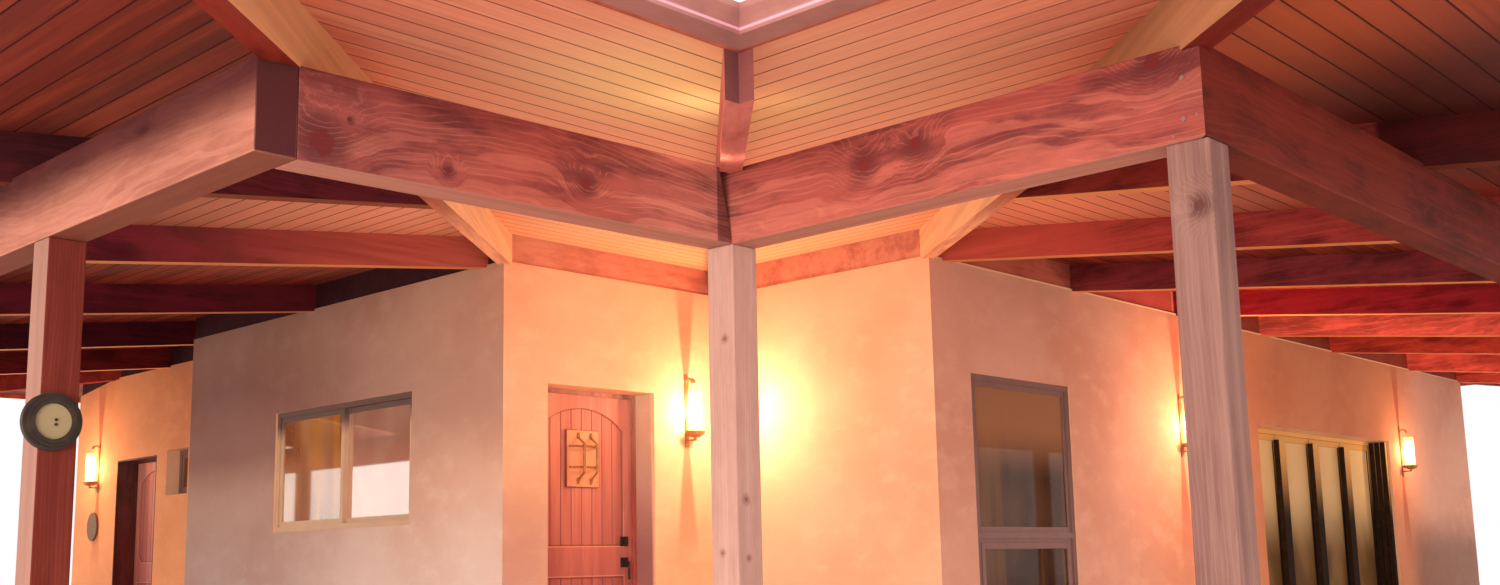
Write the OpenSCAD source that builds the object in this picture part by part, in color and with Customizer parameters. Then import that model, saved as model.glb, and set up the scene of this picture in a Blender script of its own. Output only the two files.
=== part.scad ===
/* [House] */
// Side of the square notch at the entry corner
notch = 1950; // [1600:50:2400]
// Right wall, from the entry corner to its far end
right_len = 10680; // [9500:10:12500]
// Left wall, from the entry wall to the step back
left_len = 4250; // [3900:50:4600]
// How far the far left wall stands back from the left wall
recess = 900; // [600:50:1000]
// Thickness of the adobe walls with their plaster
wall_t = 330; // [300:10:380]
// Height of the wall faces above the ground
wall_h = 2945; // [2850:5:3100]
// Thickness of the floor slab
floor_t = 100; // [80:10:120]

/* [Roof] */
// Rise of the roof for each unit of run
roof_slope = 0.123; // [0.1:0.005:0.15]
// Depth of the veranda, from wall face to beam face
veranda = 3580; // [3300:20:3800]
// Eave past the beams
overhang = 850; // [700:10:950]
// Eave past the walls that have no veranda
back_overhang = 900; // [700:10:1100]
// Depth of the rafters, hips and valley
rafter_d = 201; // [180:1:230]
// Thickness of the rafters, hips and valley
rafter_t = 90; // [70:2:110]
// First right rafter, from the entry corner
right_first = 150; // [80:10:300]
// First left rafter, from the entry wall
left_first = 180; // [80:10:300]
// Jack rafters of the front corners, from the entry walls
jack_from = 1620; // [1400:10:1800]
// Spacing of the rafters on the right
right_pitch = 1650; // [1500:10:1700]
// Spacing of the rafters on the left
left_pitch = 2140; // [1900:10:2300]
// Spacing of the rafters at the back
back_pitch = 1800; // [1600:10:2000]
// Thickness of the roof boards
deck_t = 38; // [30:1:45]
// Thickness of the metal covering with its underlay
cover_t = 15; // [10:1:25]
// Thickness of the edge boards
fascia_t = 20; // [15:1:30]
// Height of the edge boards
fascia_h = 75; // [60:5:90]
// Thickness of the boards between the rafters on the walls
blocking_t = 38; // [25:1:45]
// How far those boards stand back from the wall face
blocking_back = 12; // [5:1:30]

/* [Gutter] */
// Width of the gutter
gutter_w = 125; // [100:5:150]
// Width of the gutter's bottom
gutter_bottom = 98; // [80:2:110]
// Height of the gutter
gutter_h = 85; // [75:5:100]
// Thickness of the gutter's metal with its folds
gutter_t = 4; // [3:0.5:6]
// Diameter of the gutter's rolled rim
gutter_rim_d = 14; // [8:1:18]
// How far the gutter's rim lies below the top of the covering
gutter_drop = 5; // [0:1:20]

/* [Posts and beams] */
// Side of the posts
post_w = 138; // [120:2:150]
// Width of the beams
beam_w = 140; // [120:5:160]
// Underside of the beams above the ground
beam_low = 2208; // [2150:2:2250]
// How far the right post stands in from the beam's face
right_post_inset = 13; // [0:1:20]
// Gap at the top of the left inner beam's slanted end
beam_end_gap = 60; // [0:5:70]
// How far the left inner beam runs out of square, at its left end
beam_turn = 80; // [0:5:100]
// First left post, from the outer corner of the left beam
left_post_in = 1570; // [1300:10:1800]
// Bays of the right beam
right_bays = 4; // [3:1:5]
// Bays of the left beam past its first post
left_bays = 3; // [3:1:4]

/* [Front door] */
// Left edge of the doorway, from the outer corner
door_from = 362; // [340:2:400]
// Width of the doorway
door_w = 951; // [900:1:980]
// Top of the doorway above the ground
door_top = 2176; // [2120:2:2200]
// How far the door's face stands back from the wall face
door_back = 213; // [190:1:240]
// Thickness of the door
leaf_t = 45; // [40:1:50]
// Thickness of the lining of the doorway
lining_t = 15; // [12:1:20]
// Size of the stop in front of a door's edge
stop_t = 15; // [10:1:18]
// Width of a door's stiles
stile_w = 85; // [70:5:120]
// Depth of a door's panels below its faces
panel_d = 10; // [6:1:14]
// Rise of the arch over the upper panel
arch_rise = 140; // [100:5:180]
// Top of the upper panel above the door's foot
panel_top = 1953; // [1900:1:1970]
// Underside and top of the middle rail above the door's foot
rail_low = 805; // [750:5:850]
rail_top = 1014; // [950:2:1050]
// Height of the bottom rail
bottom_rail = 240; // [180:10:300]
// Width of the planks of a door's panels
plank_w = 92; // [70:2:120]
// Width of the grooves between the planks
groove_w = 5; // [3:1:7]
// Gap round a door
door_gap = 7; // [6:0.5:9]
// How far an outer door handle stands out
handle_out = 60; // [45:1:65]
// Middle of the handle, from the door's free edge
handle_in = 78; // [60:1:90]
// Middle of the lock above the door's foot
lock_z = 1043; // [1000:1:1100]
// Middle of the latch plate above the door's foot
latch_z = 899; // [860:1:940]
// Width of the speakeasy's raised board
peek_w = 290; // [240:2:310]
// Height of the speakeasy's raised board
peek_h = 388; // [340:2:420]
// Middle of the speakeasy above the door's foot
peek_z = 1605; // [1550:5:1650]
// Diameter of the hinge barrels
barrel_d = 12; // [10:0.5:13]
// Height of the hinges
hinge_h = 100; // [80:5:120]
// Running gap inside the hinges
hinge_gap = 0.3; // [0.2:0.1:0.5]

/* [Side door] */
// Far edge of the side doorway, from the back corner
side_door_in = 1010; // [950:10:1100]
// Width of the side doorway
side_door_w = 910; // [890:5:960]
// Far edge of the small window, before the side doorway
small_win_before = 220; // [150:10:260]
// Width of the small window
small_win_w = 450; // [380:10:500]
// Sill of the small window above the ground
small_win_sill = 1765; // [1700:5:1800]
// Height of the small window
small_win_h = 444; // [380:2:480]
// How far the small window stands back from the wall face
small_win_back = 130; // [100:5:180]
// Height of the oval plaque
plaque_h = 298; // [250:2:330]
// Width of the oval plaque
plaque_w = 238; // [200:2:260]
// Thickness of the oval plaque
plaque_t = 22; // [15:1:30]
// Middle of the oval plaque, past the side doorway
plaque_from = 510; // [450:5:550]
// Middle of the oval plaque above the ground
plaque_z = 1510; // [1450:5:1560]

/* [Windows] */
// Near edge of the left window, from the entry wall
left_win_from = 1015; // [900:5:1200]
// Width of the left window
left_win_w = 1825; // [1700:5:1950]
// Sill of the left window above the ground
left_win_sill = 1286; // [1200:2:1350]
// Height of the left window
left_win_h = 911; // [850:1:950]
// Near edge of the right window, from the entry corner
right_win_from = 420; // [400:5:500]
// Width of the right window
right_win_w = 1260; // [1150:5:1350]
// Sill of the right window above the ground
right_win_sill = 550; // [450:10:650]
// Height of the right window
right_win_h = 1655; // [1500:5:1700]
// Height of the lower pane of the right window
right_win_low_h = 560; // [500:5:620]
// Near edge of the glass doors, from the entry corner
fold_from = 4880; // [4700:10:5100]
// Width of the glass doors
fold_w = 3240; // [3000:10:3400]
// Top of the glass doors above the ground
fold_top = 2110; // [2050:5:2170]
// How far the glass doors stand back from the wall face
fold_back = 190; // [150:5:210]
// Leaves of the glass doors
fold_leaves = 4; // [3:1:5]
// Width of the plain windows at the back
back_win_w = 1500; // [1200:10:1700]
// Height of the plain windows at the back
back_win_h = 1000; // [850:5:1050]
// Width of the window frames
bar_w = 40; // [35:1:50]
// Width of the sashes and door leaves inside the frames
sash_w = 38; // [30:1:48]
// How far a sash stands back from its frame's face
sash_back = 12; // [8:1:16]
// Thickness of the sashes
sash_t = 30; // [26:1:34]
// Width of the grooves between the leaves of the glass doors
leaf_gap = 5; // [3:1:8]
// Depth of the window frames
frame_d = 85; // [70:1:100]
// How far the window frames stand back from the wall face
frame_back = 15; // [10:1:30]
// Thickness of the glass
glass_t = 14; // [10:1:20]

/* [Lanterns and dial] */
// Diameter of a wall lantern's glass
lantern_d = 94; // [80:2:110]
// Height of a wall lantern's glass
lantern_h = 295; // [250:5:320]
// Foot of the entry lantern's glass above the ground
lantern_z = 1920; // [1850:5:1980]
// How much lower the lanterns on the right wall hang
lantern_right_drop = 55; // [0:5:80]
// How much higher the lantern on the far left wall hangs
lantern_left_rise = 60; // [0:5:80]
// Entry lantern, from the entry corner
entry_lantern_from = 320; // [280:5:420]
// Near right lantern, before the glass doors
near_lantern_from = 1490; // [1300:10:1600]
// Far right lantern, past the glass doors
far_lantern_from = 330; // [280:10:420]
// Left lantern, past the side doorway
side_lantern_from = 446; // [380:2:520]
// How far the middle of a lantern stands off the wall
lantern_out = 90; // [80:1:110]
// Diameter of the dial on the left post
dial_d = 208; // [180:2:230]
// Middle of the dial above the ground
dial_z = 1533; // [1450:1:1600]
// Middle of the dial, from the post's outer edge
dial_in = 40; // [30:1:100]
// Thickness of the dial's rim
dial_t = 40; // [25:1:50]

/* [Hidden] */

reach = 40000;

// Depth of the notches that seat the rafters on the beams and walls, and the boards' rise over them
seat = roof_slope * beam_w;
rise = rafter_d - seat;
back_y = right_len - notch;
far_left_x = recess - notch;
eave = veranda + overhang;
left_eave = -notch - eave;
entry_eave = -eave;
end_eave = right_len + back_overhang;
back_eave = back_y + back_overhang;
eave_low = wall_h - roof_slope * eave;
beam_top = wall_h - roof_slope * veranda;
far_left_top = wall_h + roof_slope * recess;
left_beam_x = -notch - veranda;
right_beam_y = -notch - veranda;
entry_beam = -veranda;

// Three points where the hips, the valley and the ridges meet
peak_left = [back_y / 2 - notch, back_y / 2];
peak_mid = [back_y / 2, back_y / 2];
peak_right = [right_len / 2, right_len / 2 - notch];

// Where the hips reach the eaves, with the eaves drawn in by a distance
function corner_left(in) = [left_eave + in, entry_eave + in];
function corner_valley(in) = [entry_eave + in, entry_eave + in];
function corner_right(in) = [entry_eave + in, right_eave() + in];
function right_eave() = left_eave;
function corner_end(in) = [end_eave - in, right_len - notch - end_eave + in];
function corner_back(in) = [end_eave - in, back_eave - in];
function corner_far_left(in) = [back_y - notch - back_eave + in, back_eave - in];

left_plan = [corner_left(0), peak_left, corner_far_left(0), [left_eave, back_eave]];
entry_left_plan = [corner_left(0), corner_valley(0), peak_mid, peak_left];
entry_right_plan = [corner_valley(0), corner_right(0), peak_right, peak_mid];
right_plan = [corner_right(0), [end_eave, right_eave()], corner_end(0), peak_right];
end_plan = [corner_end(0), corner_back(0), peak_right];
back_plan = [corner_back(0), corner_far_left(0), peak_left, peak_mid, peak_right];

function outline(in) = [corner_left(in), corner_valley(in), corner_right(in),
    [end_eave - in, right_eave() + in], corner_back(in), [left_eave + in, back_eave - in]];

door_x = door_from - notch;
leaf_w = door_w - 2 * lining_t - 2 * door_gap;
leaf_h = door_top - lining_t - door_gap - floor_t - door_gap;
side_door_y = back_y - side_door_in - side_door_w;
side_leaf_w = side_door_w - 2 * lining_t - 2 * door_gap;

// An upright slice along Y of a slope that rises along +X, over a height at x = edge
module slope_slice(points) rotate([90, 0, 0]) translate([0, 0, -reach])
    linear_extrude(2 * reach) polygon(points);

// Everything below one roof slope, turned to the side that it rises from
module below_slope(turn, edge, over) rotate([0, 0, turn]) slope_slice([
    [edge - reach, -reach], [edge + reach, -reach],
    [edge + reach, wall_h + over + roof_slope * reach],
    [edge - reach, wall_h + over - roof_slope * reach]]);

// Everything below the roof's slopes, at a height over the walls' tops
module below_roof(over) {
    intersection() {
        below_slope(0, -notch, over);
        below_slope(90, -notch, over);
        below_slope(180, -right_len, over);
        below_slope(270, -back_y, over);
        union() {
            below_slope(0, 0, over);
            below_slope(90, 0, over);
        }
    }
}

// The roof between two heights over the walls' tops, over a plan
module roof_layer(low, high) {
    difference() {
        intersection() {
            linear_extrude(2 * wall_h) children();
            below_roof(high);
        }
        below_roof(low);
    }
}

// One slope's layer, over a plan
module slope_layer(turn, edge, low, high) {
    intersection() {
        linear_extrude(2 * wall_h) children();
        rotate([0, 0, turn]) slope_slice([
            [edge - reach, wall_h + low - roof_slope * reach],
            [edge + reach, wall_h + low + roof_slope * reach],
            [edge + reach, wall_h + high + roof_slope * reach],
            [edge - reach, wall_h + high - roof_slope * reach]]);
    }
}

module block(from, to) translate(from) cube(to - from);

// A wall with a level top
module wall(from, to, top) block([from[0], from[1], 0], [to[0], to[1], top]);

// The far left wall stands under a higher part of its slope, and its end under the back slope
module far_left_mass(from_y, to_y, low) intersection() {
    block([far_left_x, from_y, low], [far_left_x + wall_t, to_y, far_left_top]);
    below_slope(270, -back_y, 0);
}

// The left wall, with the step back to the far left wall closed up to the boards
module left_wall_mass() {
    wall([-notch, wall_t], [wall_t - notch, left_len], wall_h);
    intersection() {
        block([blocking_back + blocking_t - notch, left_len - wall_t, 0],
            [far_left_x + wall_t, left_len, 2 * wall_h]);
        below_slope(0, -notch, rise);
    }
}

// Everything that the rafters and the boards on the walls are cut to sit on
module supports() {
    wall([-notch, 0], [wall_t, wall_t], wall_h);
    wall([0, -notch], [wall_t, 0], wall_h);
    wall([wall_t, -notch], [right_len, wall_t - notch], wall_h);
    left_wall_mass();
    far_left_mass(left_len, back_y, 0);
    wall([far_left_x + wall_t, back_y - wall_t], [right_len, back_y], wall_h);
    wall([right_len - wall_t, wall_t - notch], [right_len, back_y - wall_t], wall_h);
    translate([0, 0, beam_low]) linear_extrude(beam_top - beam_low) {
        left_outer_plan();
        left_inner_plan();
        right_inner_plan();
        right_outer_plan();
    }
}

module adobe() color([0.88, 0.68, 0.55]) children();
module timber() color([0.62, 0.3, 0.25]) children();
module boards() color([0.85, 0.5, 0.3]) children();

module front_wall_left() adobe() wall([-notch, 0], [door_x, wall_t], wall_h);
module front_wall_right() adobe() wall([door_x + door_w, 0], [wall_t, wall_t], wall_h);
module front_wall_head() adobe()
    block([door_x, 0, door_top], [door_x + door_w, wall_t, wall_h]);
module entry_side_wall() adobe() wall([0, -notch], [wall_t, 0], wall_h);
module right_wall_near() adobe() difference() {
    wall([wall_t, -notch], [fold_from, wall_t - notch], wall_h);
    block([right_win_from, -notch - 1, right_win_sill],
        [right_win_from + right_win_w, wall_t - notch + 1, right_win_sill + right_win_h]);
}
module right_wall_head() adobe()
    block([fold_from, -notch, fold_top], [fold_from + fold_w, wall_t - notch, wall_h]);
module right_wall_far() adobe()
    wall([fold_from + fold_w, -notch], [right_len, wall_t - notch], wall_h);
module left_wall() adobe() difference() {
    left_wall_mass();
    block([-notch - 1, left_win_from, left_win_sill],
        [wall_t - notch + 1, left_win_from + left_win_w, left_win_sill + left_win_h]);
}
module far_left_wall_near() adobe() difference() {
    far_left_mass(left_len, side_door_y, 0);
    block([far_left_x - 1, small_win_y, small_win_sill],
        [far_left_x + wall_t + 1, small_win_y + small_win_w, small_win_sill + small_win_h]);
}
module far_left_wall_head() adobe()
    far_left_mass(side_door_y, side_door_y + side_door_w, door_top);
module far_left_wall_far() adobe() far_left_mass(side_door_y + side_door_w, back_y, 0);

small_win_y = side_door_y - small_win_before - small_win_w;
back_win_sill = left_win_sill + left_win_h - back_win_h;
back_win_x = [for (i = [1:3]) far_left_x + i * (right_len - far_left_x) / 4 - back_win_w / 2];
end_win_y = [for (i = [1:2]) -notch + i * (back_y + notch) / 3 - back_win_w / 2];

module back_wall() adobe() difference() {
    union() {
        wall([far_left_x + wall_t, back_y - wall_t], [right_len, back_y], wall_h);
        wall([right_len - wall_t, wall_t - notch], [right_len, back_y - wall_t], wall_h);
    }
    for (x = back_win_x) block([x, back_y - wall_t - 1, back_win_sill],
        [x + back_win_w, back_y + 1, back_win_sill + back_win_h]);
    for (y = end_win_y) block([right_len - wall_t - 1, y, back_win_sill],
        [right_len + 1, y + back_win_w, back_win_sill + back_win_h]);
}

module floor_slab() color([0.6, 0.55, 0.5]) linear_extrude(floor_t) polygon([
    [wall_t - notch, wall_t], [wall_t, wall_t], [wall_t, wall_t - notch],
    [right_len - wall_t, wall_t - notch], [right_len - wall_t, back_y - wall_t],
    [far_left_x + wall_t, back_y - wall_t], [far_left_x + wall_t, left_len - wall_t],
    [wall_t - notch, left_len - wall_t]]);

module thresholds() color([0.5, 0.4, 0.35]) {
    block([door_x, 0, 0], [door_x + door_w, wall_t, floor_t]);
    block([far_left_x, side_door_y, 0], [far_left_x + wall_t, side_door_y + side_door_w, floor_t]);
    block([fold_from, -notch, 0], [fold_from + fold_w, wall_t - notch, floor_t]);
}

module post(x, y) translate([x, y, 0]) cube([post_w, post_w, beam_low]);

right_post_step = (right_len - post_w - entry_beam) / right_bays;
left_post_y = entry_beam + left_post_in;
left_post_step = (back_y - post_w - left_post_y) / left_bays;

module centre_post() timber() post(entry_beam, entry_beam);
module left_post() timber() post(left_beam_x, left_post_y);
module right_post() timber() post(entry_beam + right_post_inset, right_beam_y);
module far_posts() timber() {
    for (i = [1:right_bays]) post(entry_beam + i * right_post_step, right_beam_y);
    for (i = [1:left_bays]) post(left_beam_x, left_post_y + i * left_post_step);
}

module left_outer_plan() polygon([[left_beam_x, entry_beam + beam_turn],
    [left_beam_x + beam_w, entry_beam + beam_turn],
    [left_beam_x + beam_w, back_eave - fascia_t], [left_beam_x, back_eave - fascia_t]]);
module left_inner_plan() polygon([[left_beam_x + beam_w, entry_beam + beam_turn],
    [entry_beam, entry_beam], [entry_beam, entry_beam + beam_w],
    [left_beam_x + beam_w, entry_beam + beam_turn + beam_w]]);
module right_inner_plan() polygon([[entry_beam, right_beam_y],
    [entry_beam + beam_w, right_beam_y + beam_w],
    [entry_beam + beam_w, entry_beam + beam_w], [entry_beam, entry_beam + beam_w]]);
module right_outer_plan() polygon([[entry_beam, right_beam_y], [end_eave - fascia_t, right_beam_y],
    [end_eave - fascia_t, right_beam_y + beam_w], [entry_beam + beam_w, right_beam_y + beam_w]]);

// A beam over its plan
module beam() timber() translate([0, 0, beam_low]) linear_extrude(beam_top - beam_low) children();
module left_outer_beam() beam() left_outer_plan();
module right_inner_beam() beam() right_inner_plan();
module right_outer_beam() beam() right_outer_plan();

// The left inner beam's end is cut aslant, so that it meets the right one only at its foot
beam_end_foot = 25;
module left_inner_beam() timber() difference() {
    beam() left_inner_plan();
    translate([entry_beam, entry_beam - beam_w, 0]) rotate([90, 0, 0])
        translate([0, 0, -3 * beam_w]) linear_extrude(3 * beam_w)
            polygon([[0, beam_low + beam_end_foot], [1, beam_low + beam_end_foot],
                [1, beam_top + 1], [-beam_end_gap, beam_top + 1]]);
}

// Half of a hip's width, measured along the house's axes
hip_half = rafter_t / sqrt(2);

// Plans of the hips and the valley
module left_hip_plan() {
    a = corner_left(fascia_t);
    b = peak_left;
    polygon([a + [0, hip_half], a, a + [hip_half, 0], b - [0, hip_half], b, b - [hip_half, 0]]);
}
module right_hip_plan() {
    a = corner_right(fascia_t);
    b = peak_right;
    polygon([a + [0, hip_half], a, a + [hip_half, 0], b - [0, hip_half], b, b - [hip_half, 0]]);
}
module valley_plan() {
    a = corner_valley(fascia_t);
    b = peak_mid - [rafter_t / 2, rafter_t / 2];
    polygon([a - [hip_half, 0], a, a - [0, hip_half], b + [rafter_t / 2, rafter_t / 2 - hip_half],
        b + [rafter_t / 2, 0], b - [hip_half, 0]]);
}
module back_hips_plan() {
    e = corner_end(fascia_t);
    k = corner_back(fascia_t);
    f = corner_far_left(fascia_t);
    l = peak_left;
    m = peak_mid;
    r = peak_right;
    polygon([e - [hip_half, 0], e, e + [0, hip_half], r + [hip_half, 0], r, r - [0, hip_half]]);
    polygon([k - [hip_half, 0], k, k - [0, hip_half], r + [hip_half, 0], r, r + [0, hip_half]]);
    polygon([f - [hip_half, 0], f, f + [hip_half, 0], l + [0, hip_half], l, l - [hip_half, 0]]);
    polygon([m + [0, rafter_t / 2], m, m - [0, hip_half], r - [hip_half, 0], r, r + [0, hip_half]]);
    polygon([l - [0, rafter_t / 2], m - [0, rafter_t / 2], m + [0, rafter_t / 2],
        l + [0, rafter_t / 2]]);
}
module hips_plan() {
    left_hip_plan();
    right_hip_plan();
    valley_plan();
    back_hips_plan();
}

// A hip or valley, notched where it sits on the beams and walls
module notched_hip() timber() difference() {
    roof_layer(-seat, rise) children();
    supports();
}
module left_hip() notched_hip() left_hip_plan();
module right_hip() notched_hip() right_hip_plan();
module valley_rafter() notched_hip() valley_plan();
module back_hips() notched_hip() back_hips_plan();

// Rafter places, by their near sides
right_near = [for (i = [0:4]) right_first + i * right_pitch];
right_far = [for (i = [1:-1:0]) right_len - rafter_t - i * right_pitch];
right_x = concat([-jack_from], right_near, right_far);
left_y = concat([-jack_from], [for (i = [0:4]) left_first + i * left_pitch]);
end_y = [for (i = [0:5]) -notch + back_pitch / 4 + i * back_pitch];
back_x = [for (i = [0:5]) far_left_x + back_pitch / 4 + i * back_pitch];

module rafter_plan(plan, low, high, places, along_x) {
    intersection() {
        polygon(plan);
        for (p = places)
            if (along_x) translate([low, p]) square([high - low, rafter_t]);
            else translate([p, low]) square([rafter_t, high - low]);
    }
}

// Rafters of one slope over their plan, notched where they sit on the beams and walls
module notched_rafters(turn, edge) difference() {
    slope_layer(turn, edge, -seat, rise) difference() {
        children();
        hips_plan();
    }
    supports();
}
module left_rafters() timber() notched_rafters(0, -notch)
    rafter_plan(left_plan, left_eave + fascia_t, reach / 4, left_y, true);
module right_rafters() timber() notched_rafters(90, -notch)
    rafter_plan(right_plan, right_eave() + fascia_t, reach / 4, right_x, false);
module back_rafters() timber() {
    notched_rafters(180, -right_len) rafter_plan(end_plan, 0, end_eave - fascia_t, end_y, true);
    notched_rafters(270, -back_y) rafter_plan(back_plan, 0, back_eave - fascia_t, back_x, false);
}

// Boards that close the gaps between the rafters on top of the walls
module blocking_plan() {
    a = blocking_back;
    b = blocking_back + blocking_t;
    polygon([[a - notch, a], [a, a], [a, a - notch], [right_len - a, a - notch],
        [right_len - a, back_y - a], [far_left_x + a, back_y - a], [far_left_x + a, left_len],
        [far_left_x + b, left_len], [far_left_x + b, back_y - b], [right_len - b, back_y - b],
        [right_len - b, b - notch], [b, b - notch], [b, b], [b - notch, b],
        [b - notch, left_len], [a - notch, left_len]]);
}
module wall_blocking() timber() difference() {
    intersection() {
        linear_extrude(2 * wall_h) difference() {
            blocking_plan();
            hips_plan();
            rafter_plan(left_plan, left_eave, reach / 4, left_y, true);
            rafter_plan(right_plan, right_eave(), reach / 4, right_x, false);
            rafter_plan(end_plan, 0, end_eave, end_y, true);
            rafter_plan(back_plan, 0, back_eave, back_x, false);
        }
        below_roof(rise);
    }
    supports();
}

// The boards of one slope, ending at the edge boards
deck_top = rise + deck_t;
module slope_boards(turn, edge, plan) boards() slope_layer(turn, edge, rise, deck_top)
    intersection() {
        polygon(plan);
        polygon(outline(fascia_t));
    }
module left_deck() slope_boards(0, -notch, left_plan);
module entry_left_deck() slope_boards(90, 0, entry_left_plan);
module entry_right_deck() slope_boards(0, 0, entry_right_plan);
module right_deck() slope_boards(90, -notch, right_plan);
module back_deck() {
    slope_boards(180, -right_len, end_plan);
    slope_boards(270, -back_y, back_plan);
}
module roof_covering() color([0.42, 0.3, 0.27])
    roof_layer(deck_top, deck_top + cover_t) polygon(outline(0));

module fascia() timber() roof_layer(deck_top - fascia_h, deck_top) difference() {
    polygon(outline(0));
    polygon(outline(fascia_t));
}

// The line of the front eaves, moved out by a distance, with its ends drawn in
function front_line(out, in) = [[left_eave - out, back_eave - in],
    [left_eave - out, entry_eave - out], [entry_eave - out, entry_eave - out],
    [entry_eave - out, right_eave() - out], [end_eave - in, right_eave() - out]];
gutter_plan = [for (i = [0:3]) [front_line(0, 0)[i], front_line(0, 0)[i + 1],
    front_line(gutter_w, 0)[i + 1], front_line(gutter_w, 0)[i]]];

// Profile of the gutter: its back on the edge board, its front flared out to a rolled rim
gutter_lip = 20;
function gutter_side(x) = [[x - gutter_w + gutter_bottom, gutter_h / 3],
    [x - 2 * (gutter_w - gutter_bottom) / 3, gutter_h / 2], [x, gutter_h - gutter_lip]];
module gutter_outline() polygon(concat([[0, 0], [gutter_bottom, 0]], gutter_side(gutter_w),
    [[gutter_w, gutter_h], [0, gutter_h]]));
module gutter_profile() {
    difference() {
        gutter_outline();
        polygon(concat([[gutter_t, gutter_t], [gutter_bottom - gutter_t, gutter_t]],
            gutter_side(gutter_w - gutter_t),
            [[gutter_w - gutter_t, gutter_h + 1], [gutter_t, gutter_h + 1]]));
    }
    translate([gutter_w - gutter_rim_d / 2, gutter_h - gutter_rim_d / 2])
        circle(d = gutter_rim_d, $fn = 24);
}

// One run of the gutter: its profile drawn along an eave, mitred by the run's plan
gutter_low = eave_low + deck_top + cover_t - gutter_drop - gutter_h;
module along_gutter(turn, place, from, length)
    translate([place[0], place[1], gutter_low]) rotate([0, 0, turn]) rotate([90, 0, 0])
        translate([0, 0, from]) linear_extrude(length) children();
module gutter_run(i, turn, place) intersection() {
    translate([0, 0, gutter_low - 1]) linear_extrude(gutter_h + 2) polygon(gutter_plan[i]);
    along_gutter(turn, place, -reach / 2, reach) gutter_profile();
}
module front_gutter() color([0.5, 0.33, 0.3]) {
    gutter_run(0, 180, [left_eave, 0]);
    gutter_run(1, 270, [0, entry_eave]);
    gutter_run(2, 180, [entry_eave, 0]);
    gutter_run(3, 270, [0, right_eave()]);
    along_gutter(180, [left_eave, 0], back_eave - gutter_t, gutter_t) gutter_outline();
    along_gutter(270, [0, right_eave()], -end_eave, gutter_t) gutter_outline();
}

// A flat shape stood upright, from y = 0 to its thickness
module upright(thick) rotate([90, 0, 0]) translate([0, 0, -thick]) linear_extrude(thick) children();

// The two sunk panels of a door: the upper one arched, the lower one square
module leaf_panels(width) {
    half = width / 2 - stile_w;
    arc_r = (half * half + arch_rise * arch_rise) / (2 * arch_rise);
    translate([stile_w, bottom_rail]) square([2 * half, rail_low - bottom_rail]);
    intersection() {
        translate([stile_w, rail_top]) square([2 * half, panel_top - rail_top]);
        translate([width / 2, panel_top - arc_r]) circle(arc_r, $fn = 360);
    }
}

// A door, its face at y = 0 and its hinged edge at x = 0, with plank grooves in its panels
module leaf(width) color([0.7, 0.3, 0.22]) difference() {
    cube([width, leaf_t, leaf_h]);
    translate([0, -1, 0]) upright(panel_d + 1) leaf_panels(width);
    translate([0, leaf_t - panel_d, 0]) upright(panel_d + 1) leaf_panels(width);
    intersection() {
        upright(leaf_t) leaf_panels(width);
        for (i = [-3:3]) translate([width / 2 + i * plank_w, 0, 0]) linear_extrude(leaf_h) {
            polygon([[-groove_w, panel_d - groove_w / 2], [groove_w, panel_d - groove_w / 2],
                [0, panel_d + groove_w / 2]]);
            polygon([[-groove_w, leaf_t - panel_d + groove_w / 2],
                [groove_w, leaf_t - panel_d + groove_w / 2],
                [0, leaf_t - panel_d - groove_w / 2]]);
        }
    }
}

// The lining of a doorway from a depth inwards, with a stop all round in front of the door
stop_y = door_back - door_gap - stop_t;
module lining_opening(width, edge) translate([edge, -1, -1])
    cube([width - 2 * edge, wall_t + 2, door_top - floor_t - edge + 1]);
module lining(width, from) {
    difference() {
        translate([0, from, 0]) cube([width, wall_t - from, door_top - floor_t]);
        lining_opening(width, lining_t);
    }
    difference() {
        translate([lining_t / 2, stop_y, 0])
            cube([width - lining_t, stop_t, door_top - floor_t - lining_t / 2]);
        lining_opening(width, lining_t + stop_t);
    }
}

module at_front_door() translate([door_x, 0, floor_t]) children();
module at_side_door() translate([far_left_x, side_door_y + side_door_w, floor_t])
    rotate([0, 0, -90]) children();
module in_lining() translate([lining_t + door_gap, door_back, door_gap]) children();

// The hinges' axis from the doorway's corner, and the flaps that lie on the lining and the door's edge
hinge_x = lining_t + barrel_d / 2 + 0.5;
hinge_y = door_back + leaf_t + barrel_d / 2 + hinge_gap;
flap_t = 3;
hinge_z = [for (f = [0.1, 0.5, 0.9]) door_gap + f * leaf_h - hinge_h / 2];
module hinge_half(x, from, to) for (z = hinge_z) {
    low = z + from;
    high = z + to;
    back = hinge_y - barrel_d / 2 - hinge_gap;
    translate([hinge_x, hinge_y, low]) cylinder(d = barrel_d, h = high - low, $fn = 32);
    block([x, hinge_y - leaf_t, z], [x + flap_t, back, z + hinge_h]);
    block([x, back, low], [x + flap_t, hinge_y, high]);
}
module frame_hinges() hinge_half(lining_t, 0, (hinge_h - hinge_gap) / 2);
module door_hinges()
    hinge_half(lining_t + door_gap - flap_t, (hinge_h + hinge_gap) / 2, hinge_h);

module door_frames() color([0.55, 0.25, 0.2]) {
    at_front_door() {
        lining(door_w, stop_y);
        frame_hinges();
    }
    at_side_door() {
        lining(side_door_w, 0);
        frame_hinges();
    }
}

// The raised board of the speakeasy, on the door's upper panel
peek_proud = 8;
module peek_board(width) color([0.7, 0.3, 0.22]) translate([width / 2, -peek_proud, peek_z])
    upright(peek_proud + panel_d + groove_w) square([peek_w, peek_h], center = true);
module front_door_leaf() at_front_door() in_lining() {
    leaf(leaf_w);
    peek_board(leaf_w);
}
module side_door_leaf() at_side_door() in_lining() leaf(side_leaf_w);

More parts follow.
